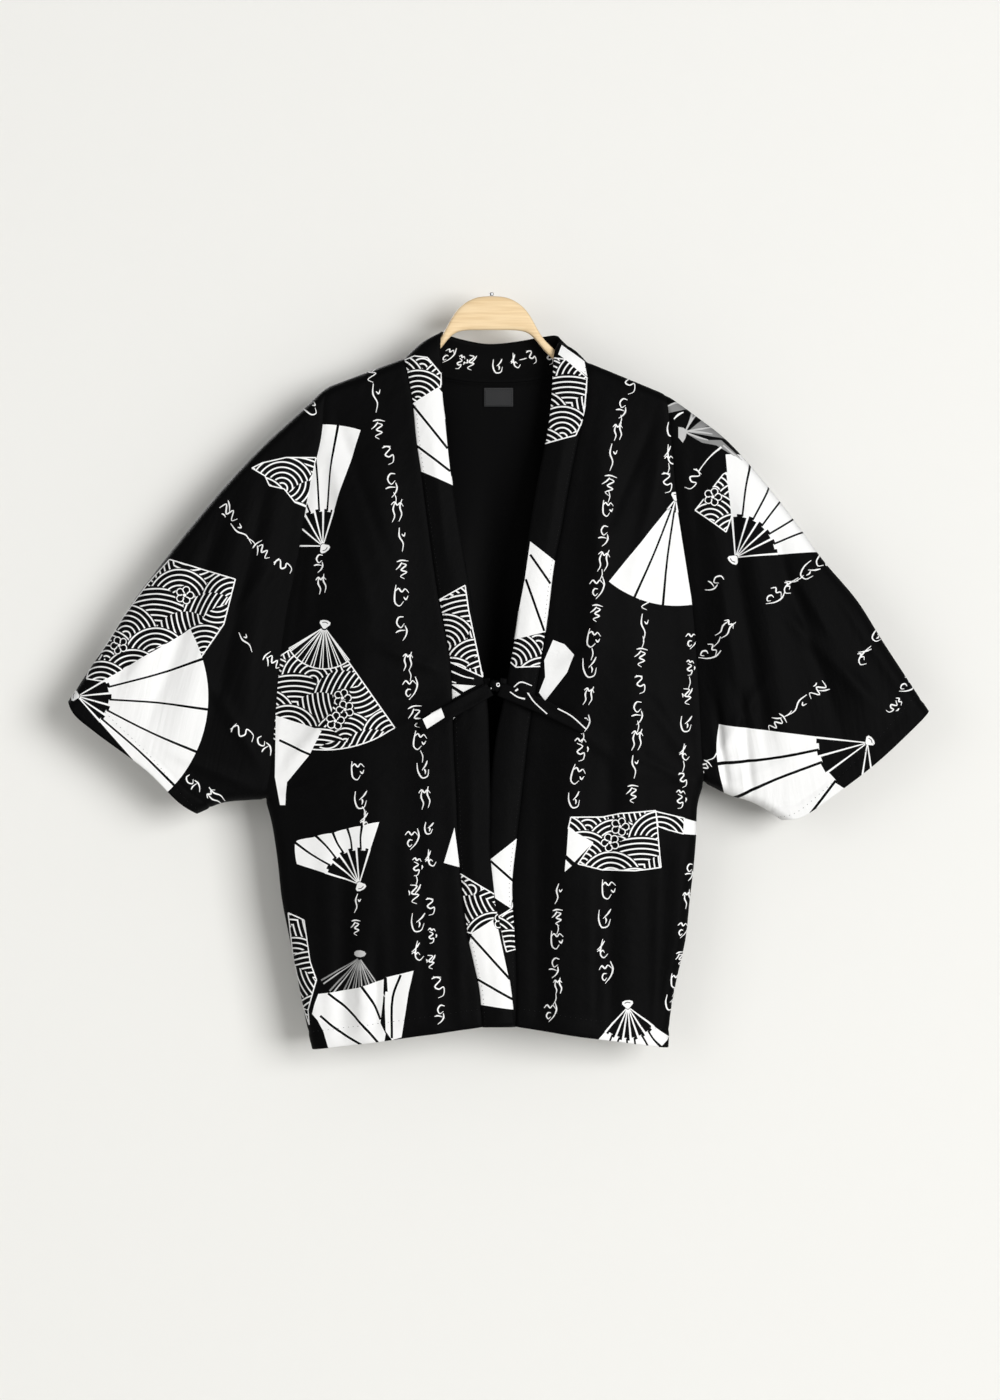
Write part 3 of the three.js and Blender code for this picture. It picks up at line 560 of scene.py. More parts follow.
def draw_sticks(x, z, angles, reach):
    """The faint grey sticks of a fan that lies under another one."""
    shapes = []
    for a in angles:
        shapes += ribbon([polar((x, z), a, 2), polar((x, z), a, reach)], [2, 6.5], GREY, 1)
        shapes += ribbon([polar((x, z), a, 14), polar((x, z), a, reach)], [0.6, 2.6], BLACK, 1)
        shapes += ribbon([polar((x, z), a + 2.6, 3), polar((x, z), a + 2.6, reach)], [0.6, 1.1],
                         SILVER, 1)
    cap = [(x + 7 * math.cos(t), z + 5 + 4 * math.sin(t)) for t in np.linspace(0, 5.6, 9)]
    shapes.append((np.array(cap), SILVER))
    return shapes


def draw_scrap(kind, corners, ribs=()):
    """A piece of a fan's leaf that a seam or another fan cuts off, with its ribs."""
    shapes = [(np.array(corners, float), kind)]
    if kind == WAVES:
        for a, b in zip(corners, corners[1:] + corners[:1]):
            shapes += ribbon([a, b], [OUTLINE_WIDTH] * 2, WHITE, 1)
    for rib in ribs:
        shapes += ribbon(rib, [RIB_WIDTH] * 2, BLACK, 4)
    return shapes


# Brush strokes in a box two units wide and high. They stand for a running hand in general
# and spell nothing.
STROKES = {
    "fall": [(0.1, 1), (-0.08, 0.3), (0.16, -0.35), (-0.1, -1)],
    "hook": [(-0.1, 1), (-0.25, 0.2), (-0.2, -0.6), (0.25, -0.85), (0.7, -0.45)],
    "wave": [(-0.9, 0), (-0.45, 0.35), (-0.05, 0), (0.35, 0.3), (0.8, -0.1)],
    "turn": [(-0.35, 0.9), (0.4, 0.6), (-0.3, 0), (0.1, -0.25), (0.6, -0.1), (0.5, -0.8),
             (-0.1, -1)],
    "slash": [(0.65, 0.8), (0.15, 0.1), (-0.7, -0.6)],
    "tick": [(-0.35, 0.25), (0, -0.1), (0.35, 0.4)],
    "drop": [(0, 0.3), (0.12, 0), (0.02, -0.35)],
    "bar": [(-0.7, -0.05), (-0.1, 0.1), (0.75, 0.02)],
    "switch": [(-0.4, 0.95), (0.45, 0.75), (-0.35, 0.1), (0.5, -0.15), (-0.45, -0.7), (0.15, -1)],
    "sweep": [(-0.6, 0.9), (-0.65, 0), (-0.2, -0.8), (0.5, -0.7), (0.8, 0)],
    "tail": [(0.3, 1), (0.45, 0.3), (0.1, -0.4), (-0.6, -1)],
    "eddy": [(0.6, 0.7), (-0.1, 0.75), (-0.55, 0.1), (-0.1, -0.5), (0.5, -0.1)],
}
CLUSTERS = [
    [("switch", -0.1, 0, 0.95), ("slash", 0.35, 0.35, 0.6), ("drop", -0.75, 0.2, 0.7)],
    [("hook", -0.35, 0.1, 0.9), ("wave", 0.15, 0.45, 0.8), ("tick", 0.5, -0.1, 0.6)],
    [("turn", 0, 0, 1.0), ("bar", -0.05, 0.75, 0.7)],
    [("tail", 0.25, 0, 1.0), ("wave", -0.1, 0.4, 0.9), ("eddy", -0.35, -0.45, 0.5)],
    [("fall", -0.1, 0, 1.15), ("tick", 0.35, 0.35, 0.6)],
    [("sweep", -0.1, 0, 0.9), ("slash", 0.25, 0.4, 0.6), ("drop", 0.1, -0.1, 0.8)],
    [("eddy", 0, 0.35, 0.7), ("tail", 0.2, -0.5, 0.6), ("bar", -0.2, -0.3, 0.7)],
    [("wave", 0, 0.75, 0.7), ("turn", -0.1, -0.15, 0.8), ("drop", 0.7, 0.1, 0.7)],
    [("bar", 0, 0.6, 0.9), ("switch", 0.1, -0.3, 0.75), ("slash", -0.4, 0.1, 0.5)],
    [("hook", 0.1, 0, 1.05), ("slash", -0.2, 0.3, 0.7), ("wave", -0.1, -0.3, 0.6)],
    [("fall", 0.3, 0.1, 0.9), ("fall", -0.35, -0.1, 0.8), ("wave", 0, 0.5, 0.7)],
]


def draw_marks(places, size, turn, first):
    """A column of brush marks, each a cluster of two or three strokes, at its places. A thin
    line runs on from some of them to the next."""
    shapes = []
    for k, (x, z) in enumerate(places):
        cluster = CLUSTERS[(first + 4 * k + k // 3) % len(CLUSTERS)]
        lean = math.radians(turn + 8 * math.sin(2.3 * k + first))
        scale = size * (1.18 + 0.14 * math.sin(1.7 * k + first))
        for name, dx, dz, share in cluster:
            points = [((dx + share * px) * scale * 0.82, (dz + share * pz) * scale)
                      for px, pz in STROKES[name]]
            points = [(x + px * math.cos(lean) - pz * math.sin(lean),
                       z + px * math.sin(lean) + pz * math.cos(lean)) for px, pz in points]
            shapes += ribbon(points, [0.8, 1.8, 1.35, 0.6], WHITE, 4)
        if k % 3 == 1 and k + 1 < len(places):
            gap = np.array(places[k + 1]) - (x, z)
            if np.hypot(*gap) < 34:
                ends = [(x, z) + gap * share for share in (0.3, 0.5, 0.72)]
                ends[1] += (1.6, 0)
                shapes += ribbon(ends, [0.8, 1.1, 0.7], WHITE, 3)
    return shapes


def draw_blossoms(places):
    """Small looped flowers between the wave lines, drawn over a black ground."""
    shapes = []
    for k, (x, z) in enumerate(places):
        turn = np.linspace(0, 2 * math.pi, 17)[:-1]
        ground = [(x + 11 * math.cos(a), z + 11 * math.sin(a)) for a in turn]
        shapes.append((np.array(ground), BLACK))
        for petal in range(5):
            angle = 2 * math.pi * petal / 5 + 0.7 * k
            middle = (x + 6.2 * math.cos(angle), z + 6.2 * math.sin(angle))
            loop = [(middle[0] + 3.9 * math.cos(angle + a), middle[1] + 3.9 * math.sin(angle + a))
                    for a in np.linspace(-2.6, 2.9, 8)]
            shapes += ribbon(loop, [1.2, 1.2], WHITE, 2)
        heart = [(x + 2 * math.cos(a), z + 2 * math.sin(a)) for a in turn[::2]]
        shapes.append((np.array(heart), WHITE))
    return shapes


def within(points, polygon):
    """Which points lie inside a polygon."""
    x, z = points[:, 0], points[:, 1]
    found = np.zeros(len(points), bool)
    for (x0, z0), (x1, z1) in zip(polygon, np.roll(polygon, -1, axis=0)):
        crosses = (z0 > z) != (z1 > z)
        if crosses.any():
            found ^= crosses & (x < (x1 - x0) * (z - z0) / (z1 - z0 + 1e-12) + x0)
    return found


def paint(centres, shapes):
    """The kind of each face, by the last shape that holds its middle."""
    kinds = np.zeros(len(centres), int)
    for polygon, kind in shapes:
        low, high = polygon.min(0), polygon.max(0)
        near = np.nonzero((centres[:, 0] > low[0]) & (centres[:, 0] < high[0])
                          & (centres[:, 1] > low[1]) & (centres[:, 1] < high[1]))[0]
        if len(near):
            kinds[near[within(centres[near], polygon)]] = kind
    return kinds


def wave_scales(shapes):
    """Overlapping scales over all the waves: their middles, and the middles of their lines."""
    boxes = [(p.min(0), p.max(0)) for p, kind in shapes if kind == WAVES]
    if not boxes:
        return np.zeros((0, 4))
    low, high = np.min([b[0] for b in boxes], 0), np.max([b[1] for b in boxes], 0)
    rows = []
    down, across = SCALE_RADIUS * SCALE_DROP, SCALE_RADIUS * SCALE_SPACING
    for j, z in enumerate(np.arange(low[1] - SCALE_RADIUS, high[1] + SCALE_RADIUS, down)[::-1]):
        for i, x in enumerate(np.arange(low[0] - SCALE_RADIUS, high[0] + SCALE_RADIUS, across)):
            x = x + (j % 2) * across / 2
            mood = (3 * i + 5 * j + i * j) % 3
            angle = 1.3 * i + 2.1 * j
            reach = 0 if mood == 0 else SCALE_RADIUS * (0.5 + 0.8 * mood)
            wobble = 5 * math.sin(2.7 * i + 1.9 * j)
            rows.append((x + wobble, z - wobble, x + wobble + reach * math.cos(angle),
                         z - wobble + reach * math.sin(angle)))
    return np.array(rows)


def in_short_steps(edges):
    """The same edges, cut into steps no longer than the cloth's grid."""
    count = np.maximum(1, np.ceil(np.linalg.norm(edges[:, 1] - edges[:, 0], axis=1) / STEP))
    count = count.astype(int)
    whole = np.repeat(np.arange(len(edges)), count)
    number = np.arange(len(whole)) - np.repeat(np.cumsum(count) - count, count)
    start, end = edges[whole, 0], edges[whole, 1]
    share = np.stack([number, number + 1], 1) / count[whole][:, None]
    return start[:, None] + (end - start)[:, None] * share[..., None]


def print_edges(shapes, scales):
    """Every edge that the print needs in the cloth's mesh, as pairs of places."""
    edges = [np.stack([p, np.roll(p, -1, axis=0)], 1) for p, _ in shapes]
    waves = [p for p, kind in shapes if kind == WAVES]
    if waves:
        turn = np.linspace(0, 2 * math.pi, 49)
        for x, z, _, _ in scales:
            ring = np.stack([x + SCALE_RADIUS * np.cos(turn), z + SCALE_RADIUS * np.sin(turn)], -1)
            pieces = np.stack([ring[:-1], ring[1:]], 1)
            middle = pieces.mean(1)
            keep = np.zeros(len(middle), bool)
            for polygon in waves:
                keep |= within(middle, polygon)
            edges.append(pieces[keep])
    return in_short_steps(np.concatenate(edges)) if edges else np.zeros((0, 2, 2))


def outline_of(flat):
    """The places round the edge of a grid's flat view, once round."""
    return np.concatenate([flat[0, :-1], flat[:-1, -1], flat[-1, :0:-1], flat[:0:-1, 0]])


def cut_outline(outline, edges):
    """The outline with a new place wherever an edge of the print crosses it."""
    if not len(edges):
        return outline
    a, b = outline, np.roll(outline, -1, axis=0)
    rows = []
    c, d = edges[:, 0], edges[:, 1]
    for p, q in zip(a, b):
        u, v = q - p, d - c
        cross = u[0] * v[:, 1] - u[1] * v[:, 0]
        safe = np.where(np.abs(cross) < 1e-9, 1, cross)
        w = c - p
        t = (w[:, 0] * v[:, 1] - w[:, 1] * v[:, 0]) / safe
        s = (w[:, 0] * u[1] - w[:, 1] * u[0]) / safe
        hit = (np.abs(cross) > 1e-9) & (t > 0.001) & (t < 0.999) & (s >= 0) & (s <= 1)
        rows.append(p[None])
        if hit.any():
            rows.append(p + np.unique(np.round(t[hit], 4))[:, None] * u)
    return np.concatenate(rows)


def outward_normals(grid, face):
    """Unit normals of a grid of points that face the front (-1) or the back (1)."""
    across = np.gradient(grid, axis=1)
    down = np.gradient(grid, axis=0)
    normal = np.cross(across, down)
    normal /= np.linalg.norm(normal, axis=-1)[..., None] + 1e-12
    middle = normal[normal.shape[0] // 2, normal.shape[1] // 2, 1]
    return normal * (1 if middle * face > 0 else -1)


def gap_to(points, line):
    """Distance from each place to a line of places."""
    best = np.full(len(points), 1e9)
    for a, b in zip(line, line[1:]):
        u = b - a
        t = np.clip(((points - a) @ u) / (u @ u + 1e-12), 0, 1)
        best = np.minimum(best, np.linalg.norm(points - a - t[:, None] * u, axis=1))
    return best


def lie_on(grid, flat, places):
    """A way to carry any values of a grid's points to places in its flat view."""
    rows, columns = grid.shape[:2]
    ids = np.arange(rows * columns).reshape(rows, columns)
    a, b, c, d = ids[:-1, :-1], ids[:-1, 1:], ids[1:, 1:], ids[1:, :-1]
    cells = np.concatenate([np.stack([a, b, c], -1).reshape(-1, 3),
                            np.stack([a, c, d], -1).reshape(-1, 3)])
    flat = flat.reshape(-1, 2)
    tree = BVHTree.FromPolygons([(x, z, 0) for x, z in flat.tolist()], cells.tolist())
    hits = np.array([tree.find_nearest((x, z, 0))[2] for x, z in places.tolist()])
    corner = cells[hits]
    p, q, r = flat[corner[:, 0]], flat[corner[:, 1]], flat[corner[:, 2]]

    def twice_area(u, v):
        return u[:, 0] * v[:, 1] - u[:, 1] * v[:, 0]

    full = twice_area(q - p, r - p)
    full = np.where(np.abs(full) < 1e-12, 1e-12, full)
    w1 = twice_area(places - p, r - p) / full
    w2 = twice_area(q - p, places - p) / full
    weights = np.clip(np.stack([1 - w1 - w2, w1, w2], -1), 0, 1)
    weights /= weights.sum(1, keepdims=True)

    def corners(values):
        return values.reshape(rows * columns, -1)[corner]

    def carried(values):
        return (corners(values) * weights[..., None]).sum(1)

    return corners, carried, weights


ROUNDNESS = 0.75  # how much a place between the grid's points follows their normals
SLIVER = 0.15  # a thinner triangle would stand on its side where the cloth is creased


def turn_slivers(places, faces):
    """Swaps the long edge of each sliver for the other way across, where both halves gain."""
    faces = faces.tolist()

    def height(a, b, c):
        """Signed height of a triangle over its longest side."""
        (ax, az), (bx, bz), (cx, cz) = places[a], places[b], places[c]
        twice = (bx - ax) * (cz - az) - (bz - az) * (cx - ax)
        return twice / max(math.hypot(bx - ax, bz - az), math.hypot(cx - bx, cz - bz),
                           math.hypot(ax - cx, az - cz))

    for _ in range(3):
        corner = places[np.array(faces)]
        sides = np.roll(corner, -1, axis=1) - corner
        length = np.linalg.norm(sides, axis=2)
        twice = np.abs(sides[:, 0, 0] * sides[:, 1, 1] - sides[:, 0, 1] * sides[:, 1, 0])
        thin = np.nonzero(twice < SLIVER * length.max(1))[0]
        owner = {(f[i], f[i - 2]): k for k, f in enumerate(faces) for i in range(3)}
        changed = set()
        for k in thin.tolist():
            i = int(length[k].argmax())
            a, b, p = (faces[k][(i + step) % 3] for step in range(3))
            other = owner.get((b, a))
            if other is None or k in changed or other in changed:
                continue
            q = next(v for v in faces[other] if v not in (a, b))
            if min(height(a, q, p), height(q, b, p)) > max(height(a, b, p), 0):
                faces[k], faces[other] = [a, q, p], [q, b, p]
                changed |= {k, other}
    return np.array(faces)


def cut_sheet(grid, face, shapes, outline=None, flat=None):
    """Cuts a sheet's mesh along its print. Gives its places in the flat view, its points,
    thread lines, triangles, their kinds and the middles of its wave lines."""
    flat = grid[..., [0, 2]] if flat is None else flat
    scales = wave_scales(shapes)
    edges = print_edges(shapes, scales)
    outline = cut_outline(outline_of(flat), edges) if outline is None else outline
    inside = flat[1:-1, 1:-1].reshape(-1, 2)
    taken = {tuple(cell) for share in np.linspace(0, 1, 5)
             for cell in np.round(blend(edges[:, 0], edges[:, 1], share) / 2).tolist()}
    inside = inside[[tuple(cell) not in taken for cell in np.round(inside / 2).tolist()]]
    places = np.concatenate([outline, inside, edges.reshape(-1, 2)])
    count = len(outline)
    pairs = [(k, (k + 1) % count) for k in range(count)]
    first = count + len(inside)
    pairs += [(first + 2 * k, first + 2 * k + 1) for k in range(len(edges))]
    made = delaunay_2d_cdt([Vector(p) for p in places], pairs, [], 0, 0.002)
    places = np.array([tuple(v) for v in made[0]])
    faces = np.array(made[2])
    centres = places[faces].mean(1)
    low, high = outline.min(0) - 1, outline.max(0) + 1
    keep = ((centres > low) & (centres < high)).all(1)
    keep[keep] = within(centres[keep], outline)
    faces = faces[keep]
    used = np.unique(faces)
    renumber = np.zeros(len(places), int)
    renumber[used] = np.arange(len(used))
    places = places[used]
    faces = turn_slivers(places, renumber[faces])
    centres = places[faces].mean(1)
    u, v = places[faces[:, 1]] - places[faces[:, 0]], places[faces[:, 2]] - places[faces[:, 0]]
    clockwise = u[:, 0] * v[:, 1] < u[:, 1] * v[:, 0]
    faces = np.where((clockwise == (face < 0))[:, None], faces[:, ::-1], faces)

    corners, carried, weights = lie_on(grid, flat, places)
    threads = np.stack([
        np.pad(np.cumsum(np.linalg.norm(np.diff(grid, axis=1), axis=-1), axis=1), ((0, 0), (1, 0))),
        np.pad(np.cumsum(np.linalg.norm(np.diff(grid, axis=0), axis=-1), axis=0), ((1, 0), (0, 0))),
    ], -1)
    points = carried(grid)
    ends, turned = corners(grid), corners(outward_normals(grid, face))
    height = ((points[:, None] - ends) * turned).sum(-1, keepdims=True)
    on_planes = ((points[:, None] - height * turned) * weights[..., None]).sum(1)
    points = blend(points, on_planes, ROUNDNESS)
    kinds = paint(centres, shapes)
    local = np.zeros((len(faces), 3, 2))
    wavy = np.nonzero(kinds == WAVES)[0]
    if len(wavy):
        middles = np.tile(scales[0, 2:], (len(wavy), 1))
        for x, z, line_x, line_z in scales:
            near = np.linalg.norm(centres[wavy] - (x, z), axis=1) < SCALE_RADIUS
            middles[near] = line_x, line_z
        local[wavy] = places[faces[wavy]] - middles[:, None]
    return {"places": places, "points": points, "threads": carried(threads), "faces": faces,
            "kinds": kinds, "local": local, "outline": outline}


SHEET_SHIFT = 700  # so that two sheets of a piece don't show the same clouds in the cotton


def sew(name, sheets, creases, dips=(), hems=(), thickness=CLOTH_THICKNESS, both_sides=False):
    """Makes a piece of its cut sheets: joins them, creases them and gives the cloth its wall.
    A dip is a seam line that the cloth sinks to, and a hem is an edge that is turned in."""
    mesh = bmesh.new()
    # Layers come first, because adding one later makes the vertices found so far unusable
    kind_layer = mesh.faces.layers.float.new("kind")
    lines_layer = mesh.loops.layers.float_vector.new("lines")
    thread_layer = mesh.verts.layers.float_vector.new("thread")
    lift_layer = mesh.verts.layers.float.new("lift")
    for number, sheet in enumerate(sheets):
        places = sheet["places"]
        rim = gap_to(places, np.vstack([sheet["outline"], sheet["outline"][:1]]))
        lift = CREASE_RELIEF * fold_height(creases, places[:, 0], places[:, 1])
        lift = lift * smooth(rim / CREASE_EDGE)
        for line in dips:
            lift -= SEAM_SINK * np.exp(-(gap_to(places, line) / SEAM_REACH) ** 2)
        for line, width in hems:
            gap = gap_to(places, line)
            lift += (HEM_RISE * smooth((width - gap) / HEM_TURN)
                     - HEM_GROOVE * np.exp(-((gap - width) / GROOVE_REACH) ** 2))
        made = [mesh.verts.new(p) for p in sheet["points"].tolist()]
        for vertex, thread, height in zip(made, sheet["threads"].tolist(), lift.tolist()):
            vertex[thread_layer] = (thread[0], thread[1] + SHEET_SHIFT * number, 0)
            vertex[lift_layer] = height
        for corner, kind, offsets in zip(sheet["faces"].tolist(), sheet["kinds"].tolist(),
                                         sheet["local"].tolist()):
            face = mesh.faces.new([made[k] for k in corner])
            face[kind_layer] = kind
            face.smooth = True
            for loop, offset in zip(face.loops, offsets):
                loop[lines_layer] = (*offset, 0)
    if len(sheets) > 1:
        edge = [v for v in mesh.verts if v.is_boundary]
        bmesh.ops.remove_doubles(mesh, verts=edge, dist=0.02)
    mesh.normal_update()
    for vertex, normal in [(v, v.normal.copy()) for v in mesh.verts]:
        vertex.co += normal * vertex[lift_layer]
    mesh.normal_update()
    thicken(mesh, thickness, kind_layer, lines_layer, both_sides)
    bmesh.ops.scale(mesh, vec=(MM, MM, MM), verts=mesh.verts)
    data = bpy.data.meshes.new(name)
    mesh.to_mesh(data)
    mesh.free()
    data.attributes.remove(data.attributes["lift"])
    return put_in_scene(name, data)


def thicken(mesh, thickness, kind_layer, lines_layer, both_sides):
    """Gives an open sheet its reverse side and rounds off its edges."""
    outer, fronts = list(mesh.verts), list(mesh.faces)
    borders, outwards = [], {}
    for edge in mesh.edges:
        if not edge.is_boundary:
            continue
        loop = edge.link_loops[0]
        a, b = loop.vert, loop.link_loop_next.vert
        away = (b.co - a.co).cross(loop.face.normal).normalized()
        borders.append((a, b, loop.face[kind_layer]))
        for vertex in (a, b):
            outwards[vertex] = outwards.get(vertex, Vector()) + away
    inner = {v: mesh.verts.new(v.co - v.normal * thickness) for v in outer}
    middle = {v: mesh.verts.new((v.co + inner[v].co) / 2
                                + away.normalized() * thickness * EDGE_ROUNDING)
              for v, away in outwards.items()}
    for face in fronts:
        made = mesh.faces.new([inner[v] for v in reversed(face.verts)])
        made[kind_layer] = face[kind_layer] if both_sides else REVERSE
        made.smooth = True
        for loop, source in zip(made.loops, reversed(face.loops)):
            loop[lines_layer] = source[lines_layer]
    for a, b, kind in borders:
        for quad in ((b, a, middle[a], middle[b]), (middle[b], middle[a], inner[a], inner[b])):
            made = mesh.faces.new(quad)
            made[kind_layer] = BLACK if kind == WAVES else kind


def cotton_print():
    """The printed cotton: plain weave, black ground, white print and a little cloudy fading."""
    made, nodes, links, shader = new_material("printed_cotton")

    def math_node(operation, first, second=None, clamp=False):
        node = add_node(nodes, "ShaderNodeMath", operation=operation, use_clamp=clamp)
        for socket, value in zip(node.inputs, (first, second)):
            if value is None:
                continue
            if isinstance(value, (int, float)):
                socket.default_value = value
            else:
                links.new(value, socket)
        return node.outputs[0]

    kind = add_node(nodes, "ShaderNodeAttribute", attribute_name="kind").outputs["Fac"]
    lines = add_node(nodes, "ShaderNodeAttribute", attribute_name="lines").outputs["Vector"]
    thread = add_node(nodes, "ShaderNodeAttribute", attribute_name="thread").outputs["Vector"]

    radius = add_node(nodes, "ShaderNodeVectorMath", operation="LENGTH")
    links.new(lines, radius.inputs[0])
    run = math_node("FRACT", math_node("DIVIDE", radius.outputs["Value"], WAVE_PITCH))
    ridge = math_node("ABSOLUTE", math_node("SUBTRACT", run, 0.5))
    line = add_node(nodes, "ShaderNodeMapRange", {"From Min": 0.372, "From Max": 0.338})
    links.new(ridge, line.inputs["Value"])
    inverse = math_node("SUBTRACT", 1, line.outputs[0], clamp=True)
    parts = []
    for number, amount in ((WHITE, 1.0), (GREY, 0.28), (SILVER, 0.6), (WAVES, None)):
        chosen = math_node("COMPARE", kind, number)
        chosen.node.inputs[2].default_value = 0.4
        parts.append(math_node("MULTIPLY", chosen, inverse if amount is None else amount))
    white = math_node("ADD", math_node("ADD", parts[0], parts[1]),
                      math_node("ADD", parts[2], parts[3]), clamp=True)

    cloudy = add_node(nodes, "ShaderNodeTexNoise", {"Scale": 0.035, "Detail": 5})
    links.new(thread, cloudy.inputs["Vector"])
    ground = add_node(nodes, "ShaderNodeMix", {
        "A": (0.0006, 0.0006, 0.0007, 1), "B": (0.0018, 0.0018, 0.0020, 1)}, data_type="RGBA")
    links.new(cloudy.outputs["Fac"], ground.inputs["Factor"])
    bleach = add_node(nodes, "ShaderNodeMix", {
        "A": (0.89, 0.89, 0.885, 1), "B": (0.95, 0.95, 0.945, 1)}, data_type="RGBA")
    links.new(cloudy.outputs["Fac"], bleach.inputs["Factor"])
    colour = add_node(nodes, "ShaderNodeMix", data_type="RGBA")
    links.new(white, colour.inputs["Factor"])
    links.new(ground.outputs["Result"], colour.inputs["A"])
    links.new(bleach.outputs["Result"], colour.inputs["B"])
    links.new(colour.outputs["Result"], shader.inputs["Base Color"])

    weave = []
    for axis in (0, 1):
        turn = add_node(nodes, "ShaderNodeMapping", {"Rotation": (0, 0, axis * math.pi / 2)})
        links.new(thread, turn.inputs["Vector"])
        threads = add_node(nodes, "ShaderNodeTexWave", {"Scale": 0.55, "Distortion": 0.5,
                                                        "Detail": 0},
                           wave_type="BANDS", bands_direction="X")
        links.new(turn.outputs[0], threads.inputs["Vector"])
        weave.append(threads.outputs["Fac"])
    crossing = math_node("MULTIPLY", weave[0], weave[1])
    fine = add_node(nodes, "ShaderNodeBump", {"Strength": 0.35, "Distance": 0.00012})
    links.new(crossing, fine.inputs["Height"])
    crumple = add_node(nodes, "ShaderNodeTexNoise", {"Scale": 0.055, "Detail": 3})
    links.new(thread, crumple.inputs["Vector"])
    soft = add_node(nodes, "ShaderNodeBump", {"Strength": 0.25, "Distance": 0.004})
    links.new(crumple.outputs["Fac"], soft.inputs["Height"])
    links.new(fine.outputs[0], soft.inputs["Normal"])
    links.new(soft.outputs[0], shader.inputs["Normal"])
    set_inputs(shader, {"Roughness": 0.6, "Specular IOR Level": 0.05, "Sheen Weight": 0.01,
                        "Sheen Roughness": 0.5})
    return made


COTTON = cotton_print()


def finish_cloth(piece, node):
    """Gives a sewn piece its material, and puts it on the body in place of its CAD node."""
    piece.data.materials.append(COTTON)
    stand_for(piece, node)


def one_print(*groups):
    """One list of all the shapes of a print, the last on top."""
    return [shape for group in groups for shape in group]


back_print = one_print(
    draw_fan(-120, -330, 205, 318, 44, 140, 6, "white"),
    draw_fan(96, -560, 20, 128, 46, 142, 7, "waves"),
    draw_fan(60, -250, -70, 40, 30, 105, 5, "white"),
    draw_fan(-170, -640, -60, 48, 42, 128, 6, "waves"),
    draw_fan(-30, -742, 120, 205, 38, 96, 5, "white"),
    draw_fan(176, -742, 190, 262, 30, 92, 5, "white"),
    draw_blossoms([(110, -470), (60, -500), (-110, -690), (-96, -610)]),
    draw_marks([(-6, -150), (-4, -178), (-8, -206), (-10, -236), (-6, -264), (-12, -292),
                (-10, -320), (-8, -350), (-14, -380), (-12, -410), (-14, -440)], 10, 0, 1),
    draw_marks([(150, -150), (146, -180), (150, -208), (144, -238), (142, -270)], 10, 0, 4),
    draw_marks([(-86, -560), (-84, -588), (-90, -616), (-88, -646), (-86, -676)], 10, 0, 2),
    draw_marks([(40, -690), (36, -718), (40, -748), (34, -776), (36, -806)], 10, 0, 6),
    draw_marks([(190, -480), (194, -510), (190, -540), (192, -568), (186, -600), (188, -630)],
               10, 0, 3),
    draw_marks([(-210, -420), (-206, -450), (-212, -480), (-208, -510)], 10, 0, 5),
    draw_marks([(-120, -130), (-124, -158), (-120, -188), (-126, -216), (-122, -246)], 10, 0, 7),
    draw_marks([(-60, -330), (-64, -360), (-58, -390), (-62, -420), (-66, -450), (-60, -480)],
               10, 0, 8),
    draw_marks([(80, -150), (76, -180), (82, -210)], 9, 0, 9),
    draw_marks([(150, -620), (146, -650), (152, -680), (148, -708)], 10, 0, 1),
    draw_marks([(108, -340), (104, -368), (110, -396)], 10, 0, 6),
    draw_marks([(-190, -150), (-194, -178), (-190, -208), (-196, -236)], 9.5, 0, 2),
    draw_marks([(-20, -500), (-14, -530), (-20, -560), (-16, -590), (-22, -620)], 10, 0, 0),
    draw_marks([(-170, -780), (-166, -806)], 10, 0, 3),
    draw_marks([(206, -330), (202, -360), (208, -390), (204, -418)], 9, 0, 5))
BACK = back_grid()
ARMHOLE_SEAMS = {side: along(draw_line(ARMHOLE[side]), np.linspace(0, ROWS[side]["arm"], 60))
                 for side in SIDES}
back = sew("back_panel", [cut_sheet(BACK, 1, back_print)], BACK_CREASES,
           dips=[*ARMHOLE_SEAMS.values(), NECK_SEAM[:, [0, 2]]],
           hems=[(BACK[-1][:, [0, 2]], HEM_DEPTH)])
finish_cloth(back, "back")


